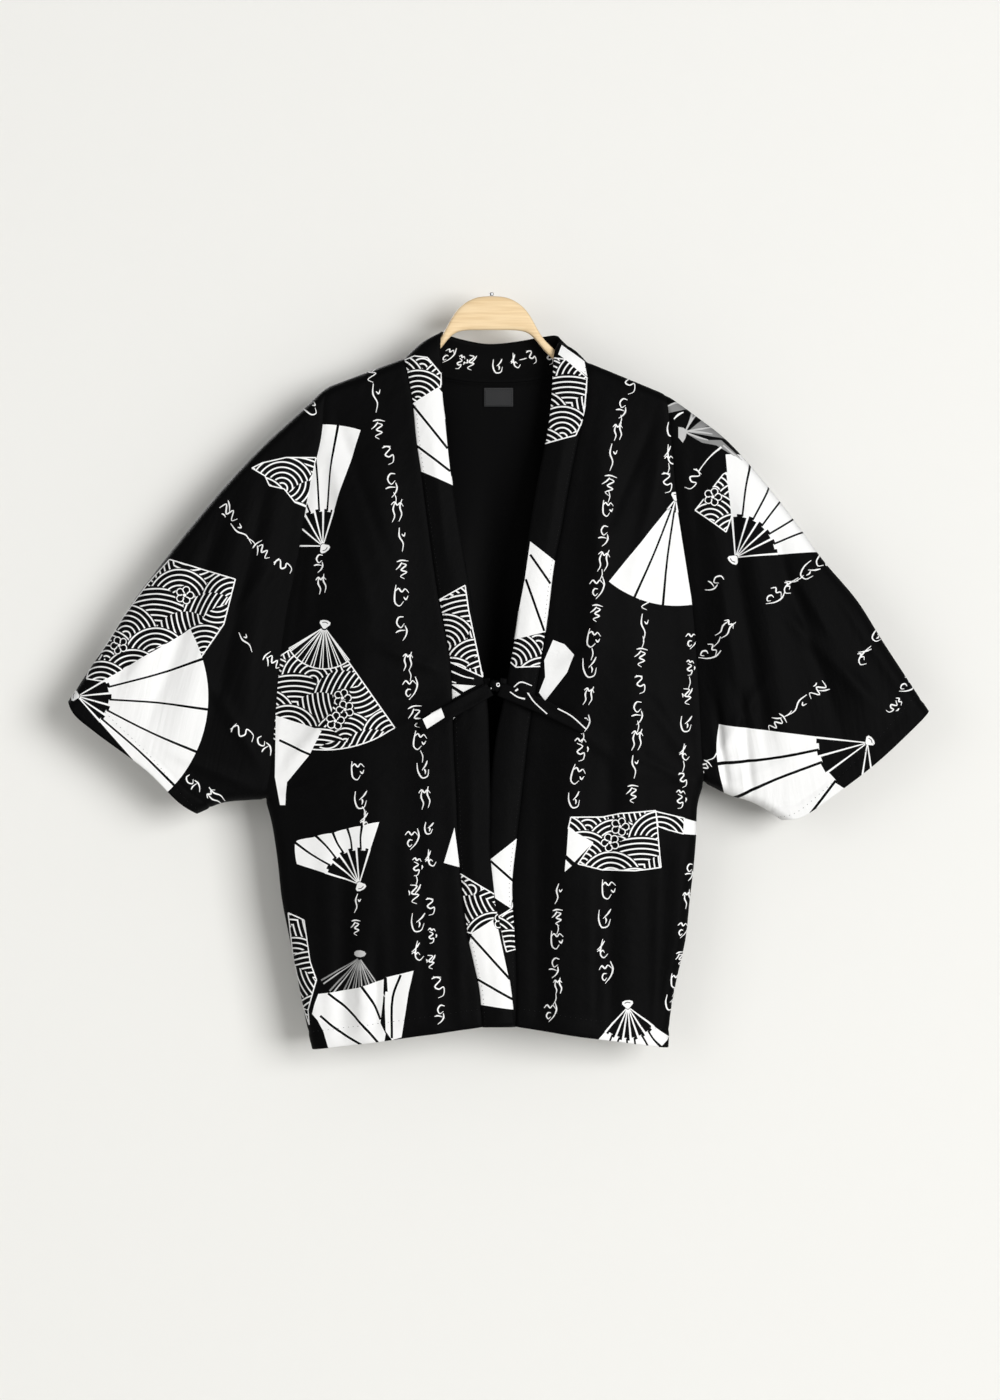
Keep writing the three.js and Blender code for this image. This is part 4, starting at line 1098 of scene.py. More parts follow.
# Left front
# Cut from the shoulder to the hem, and cut away along the collar line. It carries two pairs of
# fans, a white one over one of waves, and columns of brush marks.
FRONT_FOLDS = {
    "left": [(-150, -100, -165, -600, 38, 5), (-128, -480, -142, -960, 22, 5),
             (-72, -430, -60, -960, 15, 4), (-190, -590, -186, -960, 13, 4)],
    "right": [(122, -80, 112, -500, 13, 4), (84, -440, 100, -980, 30, 6),
              (168, -320, 160, -980, 18, 5), (188, -130, 204, -420, 14, 3)]}
FRONT_CREASES = {
    "left": [(-200, -140, -214, -420, 8, 2.0), (-196, -138, -130, -400, 9, 1.8),
             (-186, -120, -108, -330, 7, -1.6), (-246, -560, -170, -470, 8, 2.2),
             (-250, -580, -150, -540, 6, 1.6), (-40, -440, -140, -400, 7, 1.8),
             (-40, -470, -150, -520, 7, 1.8), (-44, -460, -120, -470, 5, -1.4),
             (-131, -690, -131, -960, 6, -2.6), (-96, -560, -97, -960, 11, 2.4),
             (-166, -600, -172, -900, 8, -2.0),
             (-214, -620, -200, -900, 7, 2.0), (-40, -560, -34, -900, 6, 1.8),
             (-88, -640, -82, -900, 6, 1.5), (-150, -700, -146, -900, 6, 1.4)],
    "right": [(206, -145, 222, -430, 8, 2.0), (204, -140, 150, -380, 8, 1.8),
              (196, -125, 118, -300, 7, -1.6), (232, -545, 168, -450, 8, 2.2),
              (236, -565, 150, -520, 6, 1.6), (66, -440, 140, -390, 7, 1.6),
              (62, -470, 150, -540, 7, 1.8), (134, -480, 132, -900, 9, -2.6),
              (196, -560, 190, -900, 8, -2.0), (220, -600, 204, -900, 6, 1.8),
              (56, -560, 52, -900, 7, -2.0), (112, -620, 116, -900, 6, 1.5),
              (176, -640, 178, -900, 6, 1.4), (78, -700, 72, -900, 6, 1.4)]}


def on_front_band(side, distance):
    """Points of a front band's sewn edge and free edge, at distances below the shoulder."""
    table = BAND_FRONT[side]
    seam, free = (draw_line([(r[k], r[k + 1]) for r in table]) for k in (0, 2))
    place = np.linspace(0, len(table) - 1, len(seam[1]))
    t = np.interp(distance, seam[1], place)
    depth = np.interp(t, np.arange(len(table)), [r[4] for r in table])
    return [np.stack([np.interp(t, place, line[:, 0]), depth, np.interp(t, place, line[:, 1])], -1)
            for line in (seam[0], free[0])]


def front_grid(side):
    """Points of a front, from its left edge to its right edge."""
    edge = on_front_band(side, ROWS[side]["inner"])[0]
    x, z, depth, from_band = half_panel(side, edge[:, [0, 2]], FRONT_DEPTH, FRONT_FOLDS[side])
    y = blend(edge[:, 1:2], -depth, smooth(from_band / EDGE_BLEND))
    grid = np.stack([x, y, z], -1)
    return grid if side == "right" else grid[:, ::-1]


def front_panel(side, shapes):
    """A front with its print, seams and hem."""
    grid = front_grid(side)
    band_edge = on_front_band(side, ROWS[side]["inner"])[0][:, [0, 2]]
    return sew("front_panel_" + side, [cut_sheet(grid, -1, shapes)], FRONT_CREASES[side],
               dips=[ARMHOLE_SEAMS[side], band_edge],
               hems=[(grid[-1][:, [0, 2]], HEM_DEPTH)])


left_print = one_print(
    draw_fan(-190, -383, 213, 305, 48, 140, 7, "waves"),
    draw_scrap(WHITE, [(-246, -484), (-192, -501), (-207, -529), (-233, -560), (-235, -586),
                       (-241, -586), (-247, -554)], [[(-242, -512), (-205, -529)]]),
    draw_fan(-192, -291, 72, 180, 41, 139, 6, "white", [83, 96, 111, 129, 152]),
    draw_scrap(WAVES, [(-232, -709), (-213, -717), (-206, -764), (-199, -785), (-209, -820),
                       (-208, -837), (-223, -797)]),
    draw_sticks(-149, -759, (213, 230, 245, 259, 272, 286, 300), 52),
    draw_scrap(WHITE, [(-197, -801), (-175, -798), (-151, -793), (-122, -783), (-123, -808),
                       (-126, -833), (-120, -845), (-124, -870), (-167, -872), (-186, -862),
                       (-191, -845), (-198, -831), (-204, -824), (-201, -812)],
               [[(-186, -800), (-156, -825), (-126, -858)], [(-147, -791), (-133, -813),
                (-126, -829)], [(-195, -826), (-174, -843), (-140, -862)]]),
    draw_scrap(WHITE, [(-120, -781), (-88, -773), (-94, -798), (-102, -849), (-113, -852),
                       (-120, -842), (-121, -815)],
               [[(-103, -778), (-112, -803), (-113, -850)], [(-120, -781), (-119, -797)]]),
    draw_fan(-150, -675, 72, 163, 40,
             [(72, 74), (87, 66), (103, 64), (118, 65), (136, 75), (147, 88), (163, 75)], 6,
             "white"),
    draw_scrap(WHITE, [(-42, -611), (-36, -656), (-54, -651)]),
    draw_blossoms([(-169, -464), (-166, -477), (-177, -490)]),
    draw_marks([(-136, -92), (-132, -122), (-129, -156), (-118, -187), (-113, -221), (-107, -252),
                (-102, -284), (-101, -316), (-103, -350), (-102, -384), (-95, -423), (-91, -453),
                (-86, -483), (-82, -514), (-77, -546), (-75, -578)], 11, 4, 0),
    draw_marks([(-89, -624), (-85, -656), (-86, -686), (-83, -719), (-84, -751)], 10, 0, 3),
    draw_marks([(-71, -612), (-70, -646), (-70, -700), (-68, -734), (-68, -763)], 8, 0, 5),
    draw_marks([(-61, -791), (-58, -822)], 10, 0, 2),
    draw_marks([(-196, -310), (-193, -335)], 9, 0, 6),
    draw_marks([(-152, -548), (-148, -580), (-143, -603)], 10, 0, 1),
    draw_marks([(-153, -697), (-154, -723)], 9, 0, 4))
left_front = front_panel("left", left_print)
finish_cloth(left_front, "front_left")


# Right front
# The same panel for the other side, with a narrow strip of a fan by the armhole, a band of
# waves across its middle and a large white fan at the hem.
right_print = one_print(
    draw_fan(210, -237, 231, 279, 14, 122, 3, "white"),
    draw_scrap(WAVES, [(90, -599), (127, -599), (146, -595), (187, -592), (194, -657),
                       (163, -660), (126, -659), (98, -652), (115, -628), (87, -612)]),
    draw_scrap(WAVES, [(187, -593), (220, -601), (219, -619), (201, -614), (190, -610)]),
    draw_scrap(WHITE, [(220, -601), (240, -607), (240, -621), (219, -619)]),
    draw_scrap(WHITE, [(87, -612), (115, -628), (94, -650), (85, -642)]),
    draw_scrap(WHITE, [(84, -647), (91, -654), (83, -661)]),
    draw_scrap(WHITE, [(70, -398), (83, -403), (94, -415), (86, -435), (61, -467), (54, -458),
                       (61, -440), (60, -421)]),
    draw_fan(155, -815, 227, 323, 37, 60, 7, "white"),
    draw_blossoms([(146, -610), (135, -628)]),
    draw_marks([(156, -104), (149, -133), (144, -161), (137, -190), (134, -220), (132, -250),
                (128, -279), (127, -309), (121, -339), (119, -366), (115, -398), (112, -430),
                (110, -462), (105, -494), (101, -523), (97, -553), (94, -580)], 10.5, -4, 2),
    draw_marks([(206, -158), (203, -187), (199, -218)], 9.5, 0, 5),
    draw_marks([(176, -352), (173, -384), (170, -416), (168, -448), (166, -480), (165, -512),
                (162, -542), (160, -571)], 10.5, 0, 0),
    draw_marks([(229, -398), (226, -430), (224, -462), (222, -494), (219, -526), (217, -557),
                (215, -580)], 8.5, 0, 3),
    draw_marks([(226, -662), (224, -694), (219, -728), (215, -760), (210, -788), (205, -812)],
               8.5, 0, 6),
    draw_marks([(133, -683), (129, -715), (126, -749), (132, -776)], 10.5, 0, 1),
    draw_marks([(75, -686), (75, -711), (74, -740), (72, -769), (76, -791), (68, -820)], 9.5, 0, 4))
right_front = front_panel("right", right_print)
finish_cloth(right_front, "front_right")


# Sleeves
# Each is one piece, folded over the top and closed by its under seam, and set into the armhole.
# The cuff is turned in, and both ends are open.
SLEEVE_DEPTH, CUFF_DEPTH, CUFF_TAPER = 25, 20, 0.6
SLEEVE_SWELL, SLEEVE_FOLD_START, SLEEVE_FULLNESS = 3.5, 5, 0.7
SLEEVE_ROWS = 92
SLEEVE_TOP = {
    "left": [(-190, -109), (-218, -136), (-256, -170), (-299, -215), (-338, -261), (-375, -307),
             (-409, -352), (-438, -398), (-466, -440), (-484, -468)],
    "right": [(200, -117), (236, -143), (270, -170), (317, -223), (348, -263), (380, -307),
              (418, -352), (447, -398), (477, -444), (500, -479)]}
SLEEVE_UNDER = {
    "left": [(-259, -580), (-280, -581), (-308, -584), (-337, -596)],
    "right": [(243, -561), (272, -575), (300, -584), (332, -603)]}
CUFF = {
    "left": [(-484, -468), (-475, -483), (-451, -503), (-392, -547), (-356, -583), (-337, -596)],
    "right": [(500, -479), (479, -500), (439, -537), (388, -576), (352, -600), (332, -603)]}
SLEEVE_FOLDS = {
    "left": [(-225, -150, -290, -560, 18, 5), (-262, -190, -372, -560, 16, 5),
             (-320, -260, -430, -500, 15, 4)],
    "right": [(238, -150, 268, -560, 17, 5), (282, -200, 348, -580, 17, 6),
              (336, -270, 442, -520, 16, 5)]}
SLEEVE_CREASES = {
    "left": [(-205, -150, -232, -420, 7, 2.0), (-244, -170, -330, -540, 8, -2.2),
             (-292, -220, -404, -530, 8, -2.2), (-250, -560, -330, -430, 8, 2.2),
             (-262, -570, -380, -520, 7, 1.8), (-350, -300, -470, -490, 7, 1.8),
             (-240, -300, -300, -380, 7, 1.6), (-340, -350, -420, -450, 6, 1.4)],
    "right": [(214, -150, 236, -420, 7, 2.0), (255, -300, 284, -470, 8, 2.2),
              (316, -350, 455, -490, 9, 2.4), (260, -190, 320, -560, 8, -2.2),
              (308, -235, 410, -540, 8, -2.2), (250, -440, 278, -640, 5, -3.6),
              (282, -440, 304, -640, 5, -2.8), (246, -550, 320, -430, 8, 2.0),
              (262, -566, 380, -520, 7, 1.8), (370, -310, 486, -480, 7, 1.8),
              (330, -300, 390, -400, 6, 1.4)]}


def sleeve_grids(side, folds):
    """Points of a sleeve's front half and back half, from the armhole to the cuff."""
    top, under, cuff, arm = (draw_line(table[side]) for table in
                             (SLEEVE_TOP, SLEEVE_UNDER, CUFF, ARMHOLE))
    turn = turn_steps()
    shares = np.linspace(0, 1, int(arm[1][-1] / STEP))[1:-1]
    s = np.linspace(0, 1, SLEEVE_ROWS + 1)[:, None]
    length = blend(arm[1][-1], cuff[1][-1], s)
    distance = np.concatenate([np.broadcast_to(turn, (len(s), len(turn))),
                               blend(ROUNDING, length - ROUNDING, shares[None]),
                               length - turn[::-1]], axis=1)
    t = distance / length

    def at(line, share):
        """Points at shares of a drawn line's length."""
        return along(line, share * line[1][-1])

    first, last = top[0][[0, -1]], under[0][[0, -1]]
    s3, t3 = s[..., None], t[..., None]
    place = (blend(at(arm, t), at(cuff, t), s3)
             + blend(at(top, s), at(under, s), t3)
             - blend(blend(first[0], last[0], t3), blend(first[1], last[1], t3), s3))
    belly = blend(SLEEVE_DEPTH, CUFF_DEPTH, smooth((s - 1 + CUFF_TAPER) / CUFF_TAPER))
    swell = smooth(s * SLEEVE_SWELL) * np.sin(math.pi * np.clip(t, 0, 1)) ** SLEEVE_FULLNESS
    fold = fold_height(folds, place[..., 0], place[..., 1]) * smooth(s * SLEEVE_FOLD_START)
    depth = (blend(ARMHOLE_DEPTH, belly, swell) + fold)
    depth = depth * rounded(distance) * rounded(length - distance)
    return [np.stack([place[..., 0], face * depth, place[..., 1]], -1) for face in (-1, 1)]


def sleeve(side, front_shapes, back_shapes):
    """A sleeve of two halves in one piece of cloth."""
    grids = sleeve_grids(side, SLEEVE_FOLDS[side])
    flat = grids[0][..., [0, 2]]
    edges = [print_edges(shapes, wave_scales(shapes)) for shapes in (front_shapes, back_shapes)]
    outline = cut_outline(outline_of(flat), np.concatenate(edges))
    halves = [cut_sheet(grid, face, shapes, outline)
              for grid, face, shapes in zip(grids, (-1, 1), (front_shapes, back_shapes))]
    return sew("sleeve_cloth_" + side, halves, SLEEVE_CREASES[side], dips=[ARMHOLE_SEAMS[side]],
               hems=[(flat[-1], CUFF_HEM)])


left_sleeve = sleeve("left", one_print(
    draw_scrap(WAVES, [(-367, -306), (-291, -329), (-304, -380), (-330, -418), (-343, -386),
                       (-435, -446), (-462, -442), (-460, -430), (-438, -400), (-422, -373),
                       (-392, -333)]),
    draw_fan(-472, -462, -48.5, 30.3, 38, 150, 4, "white", [-42.5, -24.9, -5.8, 16.4]),
    draw_scrap(WAVES, [(-273, -202), (-261, -196), (-234, -190), (-200, -190), (-211, -246),
                       (-224, -241), (-236, -226), (-253, -222), (-258, -211)]),
    draw_blossoms([(-349, -347), (-424, -404)]),
    draw_marks([(-298, -252), (-284, -276), (-262, -295), (-238, -314)], 11, 45, 0),
    draw_marks([(-279, -400), (-251, -421)], 11, 45, 4),
    draw_marks([(-284, -504), (-259, -518)], 11, 45, 2),
    draw_marks([(-340, -561), (-314, -577)], 10, 45, 6),
    draw_marks([(-206, -133)], 10, 45, 1)), one_print(
    draw_fan(-300, -330, 200, 300, 44, 138, 6, "white"),
    draw_fan(-400, -420, 20, 110, 40, 96, 5, "waves"),
    draw_marks([(-236, -190), (-250, -214), (-262, -238), (-276, -262)], 10, -45, 3),
    draw_marks([(-276, -520), (-300, -540), (-324, -560)], 10, -45, 5)))
finish_cloth(left_sleeve, "sleeve_left")

right_sleeve = sleeve("right", one_print(
    draw_scrap(WAVES, [(268, -207), (274, -255), (267, -275), (232, -250), (264, -209)]),
    draw_fan(277, -304, 4, 95, 48, 118, 6, "white"),
    draw_fan(428, -515, 173, 262, 57, 172, 4, "white", [188, 203, 230], 3.7),
    ribbon([(428, -515), (436, -572)], [1.2, 2.6], WHITE, 2),
    *[draw_scrap(GREY, corners) for corners in (
        [(222, -159), (229, -134), (236, -138)], [(224, -160), (243, -144), (253, -152)],
        [(224, -161), (254, -154), (268, -168), (252, -166)],
        [(223, -163), (246, -170), (262, -170), (284, -190), (276, -188), (256, -176), (240, -173)],
        [(201, -131), (216, -126), (227, -133), (216, -136), (202, -139)])],
    *[ribbon(points, [1.6, 2.2, 1.0], SILVER, 2) for points in (
        [(221, -160), (229, -146), (236, -139)], [(221, -160), (228, -144), (230, -135)],
        [(221, -160), (240, -157), (258, -153)], [(221, -160), (238, -161), (252, -163)],
        [(221, -161), (236, -167), (247, -170)], [(264, -176), (276, -186), (286, -193)],
        [(201, -131), (210, -127), (217, -126)], [(276, -176), (286, -184), (290, -193)])],
    draw_scrap(SILVER, [(213, -155), (219, -156), (223, -160), (221, -168), (218, -173),
                        (213, -167)]),
    ribbon([(208, -146), (213, -141), (219, -138)], [1.4, 2.6, 1.2], WHITE, 3),
    draw_blossoms([(252, -235)]),
    draw_marks([(379, -307), (361, -320), (340, -335), (322, -349)], 11, -45, 1),
    draw_marks([(441, -393), (424, -415)], 10, -45, 5),
    draw_marks([(475, -450), (458, -473)], 10, -45, 3),
    draw_marks([(372, -456), (348, -473), (325, -491)], 11, -45, 0),
    draw_marks([(254, -333), (266, -386), (248, -413)], 10.5, -45, 6),
    ribbon([(262, -178), (250, -188), (240, -200), (236, -206)], [2.4, 1.4, 1.1, 1.6], WHITE, 3),
    draw_marks([(229, -214)], 10, -45, 2),
    draw_marks([(256, -529), (242, -543)], 10, -45, 4)), one_print(
    draw_fan(330, -360, 240, 330, 46, 132, 6, "waves"),
    draw_fan(250, -250, -60, 30, 34, 100, 5, "white"),
    draw_marks([(400, -350), (416, -374), (430, -396), (446, -420)], 10, 45, 2),
    draw_marks([(264, -470), (288, -490), (312, -512)], 10, 45, 6)))
finish_cloth(right_sleeve, "sleeve_right")


# Collar band
# One long strip, folded double and sewn to both fronts and the back neck. It stands up round
# the neck, and the left end lies over the right one below the ties.
BAND_WALL, BAND_ROLL = 2.6, 3
BAND_COLUMNS = np.linspace(0, 1, 13)
BAND_MIDDLE = len(BAND_COLUMNS) // 2
BAND_CREASES = [
    (-70, -150, -50, -330, 5, 0.9), (-40, -330, -24, -520, 5, -0.8), (-26, -480, -20, -900, 6, 1.0),
    (-8, -560, 2, -900, 5, -0.8), (86, -150, 60, -330, 5, 0.9), (56, -330, 34, -520, 5, -0.8),
    (20, -560, 14, -900, 5, 0.9)]


def band_grid(seam, free):
    """Points of a stretch of the band between its sewn edge and its free edge."""
    q = BAND_COLUMNS[None, :, None]
    strip = blend(seam[:, None], free[:, None], q)
    return strip, np.cross(np.gradient(strip, axis=0), np.gradient(strip, axis=1))


def roll(strip, normal, facing):
    """Stands a stretch of the band out along its middle."""
    normal = normal / (np.linalg.norm(normal, axis=-1)[..., None] + 1e-12)
    middle = normal[len(normal) // 2, BAND_MIDDLE, 1]
    normal = normal * (1 if middle * facing > 0 else -1)
    return strip + normal * BAND_ROLL * np.sin(math.pi * BAND_COLUMNS)[None, :, None]


band_prints = {
    "left": one_print(
        draw_scrap(WAVES, [(-101, -79), (-88, -74), (-73, -76), (-57, -95), (-58, -110),
                           (-61, -111), (-91, -130), (-95, -116)]),
        draw_scrap(WHITE, [(-93, -132), (-60, -111), (-56, -116), (-50, -178), (-47, -205),
                           (-44, -222), (-83, -205)],
                   [[(-90, -130), (-50, -180)], [(-85, -177), (-47, -206)]]),
        draw_scrap(WAVES, [(-62, -354), (-30, -336), (-26, -364), (-10, -440), (-52, -421),
                           (-59, -376)]),
        ribbon([(-69, -431), (-62, -432), (-61, -436)], [1.4, 1.4], WHITE),
        ribbon([(-57, -436), (-50, -443), (-40, -447)], [1.8, 1.2], WHITE),
        ribbon([(-47, -433), (-38, -437), (-30, -440), (-20, -442)], [2.0, 1.2], WHITE),
        draw_scrap(WHITE, [(-52, -448), (-35, -460), (-50, -468)]),
        draw_scrap(WHITE, [(-47, -448), (-18, -450), (-32, -457)]),
        draw_scrap(WHITE, [(-51, -486), (-35, -476), (-47, -494)]),
        draw_scrap(WAVES, [(-36, -663), (4, -687), (23, -703), (5, -714), (-22, -731),
                           (-30, -729)]),
        draw_scrap(WHITE, [(-22, -731), (5, -714), (20, -783), (28, -818), (-12, -812),
                           (-26, -744)], [[(-24, -733), (21, -783)], [(-16, -783), (26, -807)]]),
        draw_blossoms([(13, -717)])),
    "right": one_print(
        draw_scrap(WAVES, [(70, -76), (85, -78), (109, -99), (105, -145), (96, -165), (59, -175),
                           (62, -145), (64, -120)]),
        draw_scrap(WHITE, [(80, -61), (106, -80), (109, -97), (84, -78), (76, -72)]),
        draw_scrap(WHITE, [(44, -286), (72, -308), (72, -316), (62, -388), (25, -397),
                           (38, -328)], [[(44, -301), (67, -334)], [(39, -329), (60, -388)]]),
        draw_scrap(WAVES, [(25, -397), (62, -388), (63, -420), (56, -428), (28, -429),
                           (19, -421)]),
        ribbon([(24, -453), (33, -446), (46, -450)], [1.3, 1.6, 1.0], WHITE),
        draw_scrap(WHITE, [(-1, -647), (32, -621), (26, -674), (22, -703), (4, -691)],
                   [[(-1, -649), (26, -673)]]),
        draw_scrap(WAVES, [(23, -703), (26, -687), (36, -747), (17, -752), (9, -724),
                           (5, -714)]))}
band_sheets = []
for side in SIDES:
    strip, normal = band_grid(*on_front_band(side, ROWS[side]["inner"]))
    grid = roll(strip, normal, -1)
    band_sheets.append(cut_sheet(grid, -1, band_prints[side]))
strip, normal = band_grid(NECK_SEAM, NECK_FREE)
grid = roll(strip, normal, 1)
middle = strip[:, BAND_MIDDLE]
run = np.concatenate([[0], np.cumsum(np.linalg.norm(np.diff(middle, axis=0), axis=1))])
NECK_WIDTH = 42
neck_flat = np.stack(np.broadcast_arrays((run - run[-1] / 2)[:, None],
                                         (BAND_COLUMNS[None] - 0.5) * NECK_WIDTH), -1)
band_sheets.append(cut_sheet(grid, 1, draw_marks(
    [(-56, 3), (-41, -2), (-28, 0), (2, -3), (22, 2), (42, 4), (62, 0)], 7.5, 0, 3),
    flat=neck_flat))
band = sew("collar_cloth", band_sheets, BAND_CREASES, thickness=BAND_WALL, both_sides=True)
finish_cloth(band, "collar_band")


# Ties
# Two flat tapes of the same cloth, folded narrow and sewn into the band's free edges. They meet
# in a small flat knot, and their ends hang out to both sides.
TIE_WALL = 1.6
ROOT_WIDTH, ROOT_ROWS = 11, 8
TAPE_WIDTH, TAPE_ROWS, TAPE_WAVER = 15, 30, 0.9
TIE_ENDS = {
    "left": [(-1.8, -36, -454), (-30, -39.5, -470), (-56, -40.5, -484), (-81, -40, -497)],
    "right": [(9.8, -36, -454), (44, -39, -468), (76, -40.5, -482), (107, -41.5, -497)]}
TIE_ROOTS = {
    "left": [(-7.9, -28.9, -448), (-4.5, -29.8, -447.6), (-2.2, -30.8, -447.3)],
    "right": [(16.9, -27.6, -448), (13, -29, -447.6), (10.2, -30.8, -447.1)]}


def tape(name, route, width, rows, shapes, waver):
    """A flat tape along a route, a little wavy across."""
    line = draw_line(route)
    points = along(line, np.linspace(0, line[1][-1], rows + 1))
    heading = np.gradient(points, axis=0)
    across = np.stack([heading[:, 2], np.zeros(rows + 1), -heading[:, 0]], -1)
    across /= np.linalg.norm(across, axis=1)[:, None]
    q = np.linspace(-0.5, 0.5, 9)
    grid = points[:, None] + across[:, None] * (q * width)[None, :, None]
    s = np.linspace(0, 1, rows + 1)[:, None]
    grid[..., 1] += waver * np.sin(math.pi * s) * (np.cos(2 * math.pi * q)[None] * 0.6
                                                   + 0.6 * np.sin(9 * s + 3 * q[None]))
    return sew(name, [cut_sheet(grid, -1, shapes)], [], thickness=TIE_WALL, both_sides=True)


tie_prints = {
    "left": draw_scrap(WHITE, [(-57, -475), (-53, -486), (-73, -499), (-78, -488)]),
    "right": one_print(ribbon([(21, -457), (30, -463), (38, -465)], [1.2, 1.8], WHITE),
                       ribbon([(41, -458), (48, -468), (63, -482)], [1.5, 1.2], WHITE),
                       ribbon([(27, -456), (30, -454)], [2, 2], WHITE),
                       ribbon([(75, -476), (90, -484), (107, -499)], [1.4, 1.4], WHITE))}
for side in SIDES:
    root = tape("tie_start_" + side, TIE_ROOTS[side], ROOT_WIDTH, ROOT_ROWS, [], 0)
    finish_cloth(root, "tie_root_" + side)
    end = tape("tie_tape_" + side, TIE_ENDS[side], TAPE_WIDTH, TAPE_ROWS, tie_prints[side],
               TAPE_WAVER)
    finish_cloth(end, "tie_end_" + side)

low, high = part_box("tie_knot")
bpy.ops.mesh.primitive_uv_sphere_add(segments=72, ring_count=48, radius=1)
knot = bpy.context.object
knot.name = "tie_knot_cloth"
middle = (Vector(low) + Vector(high)) / 2
half = (Vector(high) - Vector(low)) / 2
# The knot's form in shares of its half size: one turn of tape leans over the other
KNOT_LEAN, KNOT_CORE, KNOT_FILL = 0.5, 0.9, 0.96
TURN_WIDTH, TURN_RISE = 0.36, 0.1
GROOVE_AT, GROOVE_WIDTH, GROOVE_DEPTH = 0.46, 0.09, 0.16
PLEAT_WIDTH, PLEAT_DEPTH = 0.1, 0.05
for vertex in knot.data.vertices:
    x, y, z = vertex.co
    wrap = x * math.cos(KNOT_LEAN) + z * math.sin(KNOT_LEAN)
    other = z * math.cos(KNOT_LEAN) - x * math.sin(KNOT_LEAN)
    front = max(-y, 0)
    turn_over = math.exp(-(wrap / TURN_WIDTH) ** 4)
    groove = (GROOVE_DEPTH * math.exp(-((abs(wrap) - GROOVE_AT) / GROOVE_WIDTH) ** 2)
              + PLEAT_DEPTH * math.exp(-(other / PLEAT_WIDTH) ** 2))
    size = KNOT_CORE + TURN_RISE * turn_over * (0.4 + 0.6 * front) - groove * (0.35 + 0.65 * front)
    flat = 1 / max(abs(x) ** 3 + abs(y) ** 3 + abs(z) ** 3, 1e-6) ** (1 / 3) * KNOT_FILL
    vertex.co = [middle[k] + half[k] * c * size * flat for k, c in enumerate((x, y, z))]
knot.data.shade_smooth()
kind = knot.data.attributes.new("kind", "FLOAT", "FACE")
thread = knot.data.attributes.new("thread", "FLOAT_VECTOR", "POINT")
# What shows of the print on the knot: a small ring and a dot, x and z of their middles
KNOT_RING, RING_INNER, RING_OUTER = (7.6, -449), 1.2, 2.3
KNOT_DOT, DOT_RADIUS = (-0.5, -453), 0.9
for face in knot.data.polygons:
    x, y, z = face.center / MM
    ring = math.hypot(x - KNOT_RING[0], z - KNOT_RING[1])
    dot = math.hypot(x - KNOT_DOT[0], z - KNOT_DOT[1])
    if y < middle[1] / MM and (RING_INNER < ring < RING_OUTER or dot < DOT_RADIUS):
        kind.data[face.index].value = WHITE
for vertex in knot.data.vertices:
    x, y, z = vertex.co / MM
    thread.data[vertex.index].vector = (x + 0.5 * y, z + 0.5 * y, 0)
knot.data.materials.append(COTTON)
stand_for(knot, "tie_knot")


# Neck label
# A small blank tab of dark grey ribbon, sewn flat inside the back below the collar.
low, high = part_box("neck_label")
LABEL_ROWS, LABEL_COLUMNS = 14, 22
xs = np.linspace(low[0], high[0], LABEL_COLUMNS + 1) / MM
zs = np.linspace(high[2], low[2], LABEL_ROWS + 1) / MM
places = np.stack(np.meshgrid(xs, zs), -1)
carried = lie_on(BACK, BACK[..., [0, 2]], places.reshape(-1, 2))[1]
grid = carried(BACK).reshape(*places.shape[:2], 3)
LABEL_WALL, LABEL_GAP, BACK_WALL = 0.8, 0.7, 1.8
grid[..., 0], grid[..., 2] = places[..., 0], places[..., 1]
grid[..., 1] -= BACK_WALL + LABEL_GAP + LABEL_WALL
label = sew("label_tab", [cut_sheet(grid, -1, [])], [], thickness=LABEL_WALL)
material, nodes, links, shader = new_material("label_ribbon")
thread = add_node(nodes, "ShaderNodeAttribute", attribute_name="thread")
twill = add_node(nodes, "ShaderNodeTexWave", {"Scale": 0.5}, wave_type="BANDS",
                 bands_direction="DIAGONAL")
links.new(thread.outputs["Vector"], twill.inputs["Vector"])
tone = two_tones(nodes, (0.010, 0.010, 0.011), (0.020, 0.021, 0.023))
links.new(twill.outputs["Fac"], tone.inputs[0])
links.new(tone.outputs[0], shader.inputs["Base Color"])
bump = add_node(nodes, "ShaderNodeBump", {"Distance": 0.0002})
links.new(twill.outputs["Fac"], bump.inputs["Height"])
links.new(bump.outputs[0], shader.inputs["Normal"])
set_inputs(shader, {"Roughness": 0.6})
label.data.materials.append(material)
stand_for(label, "neck_label")


# Sewing thread
# Fine black thread. The hems and cuffs are felled by hand with small pricks, the band is run
# down beside its seam, and the label is sewn on round its edge.
PRICK_LENGTH, PRICK_RADIUS, PRICK_SIDES = 1.4, 0.26, 6
HEM_PITCH, BAND_PITCH, LABEL_PITCH = 6, 5, 2.6  # from one stitch to the next
BAND_INSET = 0.08  # of the band's width, from its seam
LABEL_INSET = 1.5
# Share of its length, height above the cloth and share of its radius, at five rings
PRICK_RINGS = [(0, -0.4, 0.6), (0.15, 0.1, 1), (0.5, 0.24, 1), (0.85, 0.1, 1), (1, -0.4, 0.6)]


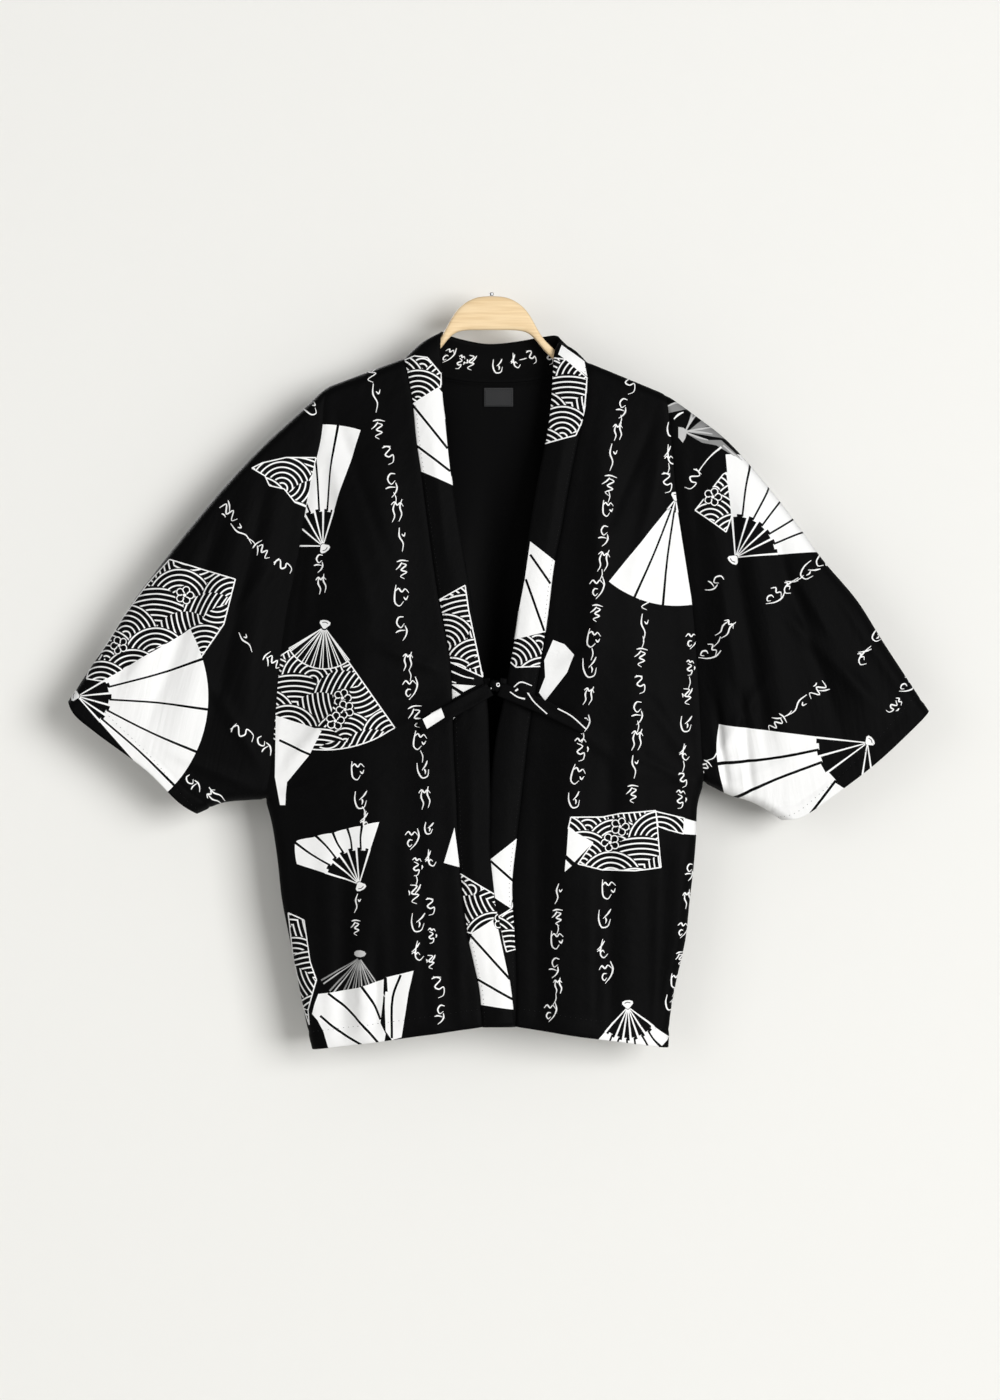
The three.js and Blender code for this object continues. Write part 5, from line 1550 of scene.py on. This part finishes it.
THREAD, nodes, links, shader = new_material("sewing_thread")
place = add_node(nodes, "ShaderNodeTexCoord")
plies = add_node(nodes, "ShaderNodeTexWave", {"Scale": 700}, wave_type="BANDS",
                 bands_direction="DIAGONAL")
links.new(place.outputs["Object"], plies.inputs["Vector"])
tone = two_tones(nodes, (0.002, 0.002, 0.002), (0.008, 0.008, 0.009))
links.new(plies.outputs["Fac"], tone.inputs[0])
links.new(tone.outputs[0], shader.inputs["Base Color"])
twist = add_node(nodes, "ShaderNodeBump", {"Distance": 0.0001})
links.new(plies.outputs["Fac"], twist.inputs["Height"])
links.new(twist.outputs[0], shader.inputs["Normal"])
set_inputs(shader, {"Roughness": 0.5, "Specular IOR Level": 0.3})


def prick_ends(piece, line, facing, pitch, reach=4):
    """Both ends and the normal of each stitch that runs along a line on a piece, looked for
    from the front (-1) or the back (1). Where the cloth that is met isn't the line's own, as
    under another layer, there is none."""
    tree = BVHTree.FromObject(piece, bpy.context.evaluated_depsgraph_get())
    run = np.concatenate([[0], np.cumsum(np.linalg.norm(np.diff(line, axis=0), axis=1))])
    found = []
    for start in np.arange(pitch / 2, run[-1] - PRICK_LENGTH, pitch):
        ends = []
        for x, y, z in along((line, run), np.array([start, start + PRICK_LENGTH])):
            point, normal, _, _ = tree.ray_cast((x * MM, facing, z * MM), (0, -facing, 0))
            if point is not None and abs(point.y / MM - y) < reach:
                ends.append((np.array(point) / MM, np.array(normal)))
        if len(ends) == 2:
            found.append((ends[0][0], ends[1][0], ends[0][1]))
    return found


def stitch_row(name, ends):
    """One piece of all the stitches of a row, each a short bent rod that dips into the cloth."""
    points, faces = [], []
    turn = np.linspace(0, 2 * math.pi, PRICK_SIDES, endpoint=False)[:, None]
    for a, b, normal in ends:
        axis = (b - a) / np.linalg.norm(b - a)
        up = normal - axis * (normal @ axis)
        up /= np.linalg.norm(up)
        side = np.cross(axis, up)
        first = len(points)
        for share, height, radius in PRICK_RINGS:
            middle = blend(a, b, share) + up * height
            ring = middle + PRICK_RADIUS * radius * (up * np.cos(turn) + side * np.sin(turn))
            points += (ring * MM).tolist()
        ids = first + np.arange(len(PRICK_RINGS) * PRICK_SIDES).reshape(-1, PRICK_SIDES)
        after = np.roll(ids, -1, axis=1)
        faces += np.stack([ids[:-1], after[:-1], after[1:], ids[1:]], -1).reshape(-1, 4).tolist()
        faces += [ids[0, ::-1].tolist(), ids[-1].tolist()]
    data = bpy.data.meshes.new(name)
    data.from_pydata(points, [], faces)
    data.shade_smooth()
    data.materials.append(THREAD)
    row = put_in_scene(name, data)
    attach(row, "root")


def turned_edge(grid, depth):
    """The row of a sheet's grid that lies nearest to the inner edge of its hem."""
    above = np.linalg.norm(grid - grid[-1], axis=-1)
    return grid[int(np.argmin(np.abs(np.median(above, axis=1) - depth)))]


hem_ends = []
for piece, grid, facing in ((back, BACK, 1), (left_front, front_grid("left"), -1),
                            (right_front, front_grid("right"), -1)):
    hem_ends += prick_ends(piece, turned_edge(grid, HEM_DEPTH), facing, HEM_PITCH)
stitch_row("hem_stitches", hem_ends)
cuff_ends = []
for side, piece in zip(SIDES, (left_sleeve, right_sleeve)):
    for grid, facing in zip(sleeve_grids(side, SLEEVE_FOLDS[side]), (-1, 1)):
        cuff_ends += prick_ends(piece, turned_edge(grid, CUFF_HEM), facing, HEM_PITCH)
stitch_row("cuff_stitches", cuff_ends)
band_ends = []
for side in SIDES:
    seam, free = on_front_band(side, ROWS[side]["inner"])
    band_ends += prick_ends(band, blend(seam, free, BAND_INSET), -1, BAND_PITCH)
band_ends += prick_ends(band, blend(NECK_SEAM, NECK_FREE, BAND_INSET), 1, BAND_PITCH)
stitch_row("band_stitches", band_ends)
low, high = np.array(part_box("neck_label")) / MM
first, last = low + LABEL_INSET, high - LABEL_INSET
rim = np.array([(x, low[1], z) for x, z in (
    (first[0], last[2]), (last[0], last[2]), (last[0], first[2]), (first[0], first[2]),
    (first[0], last[2]))])
stitch_row("label_stitches", prick_ends(label, rim, -1, LABEL_PITCH))
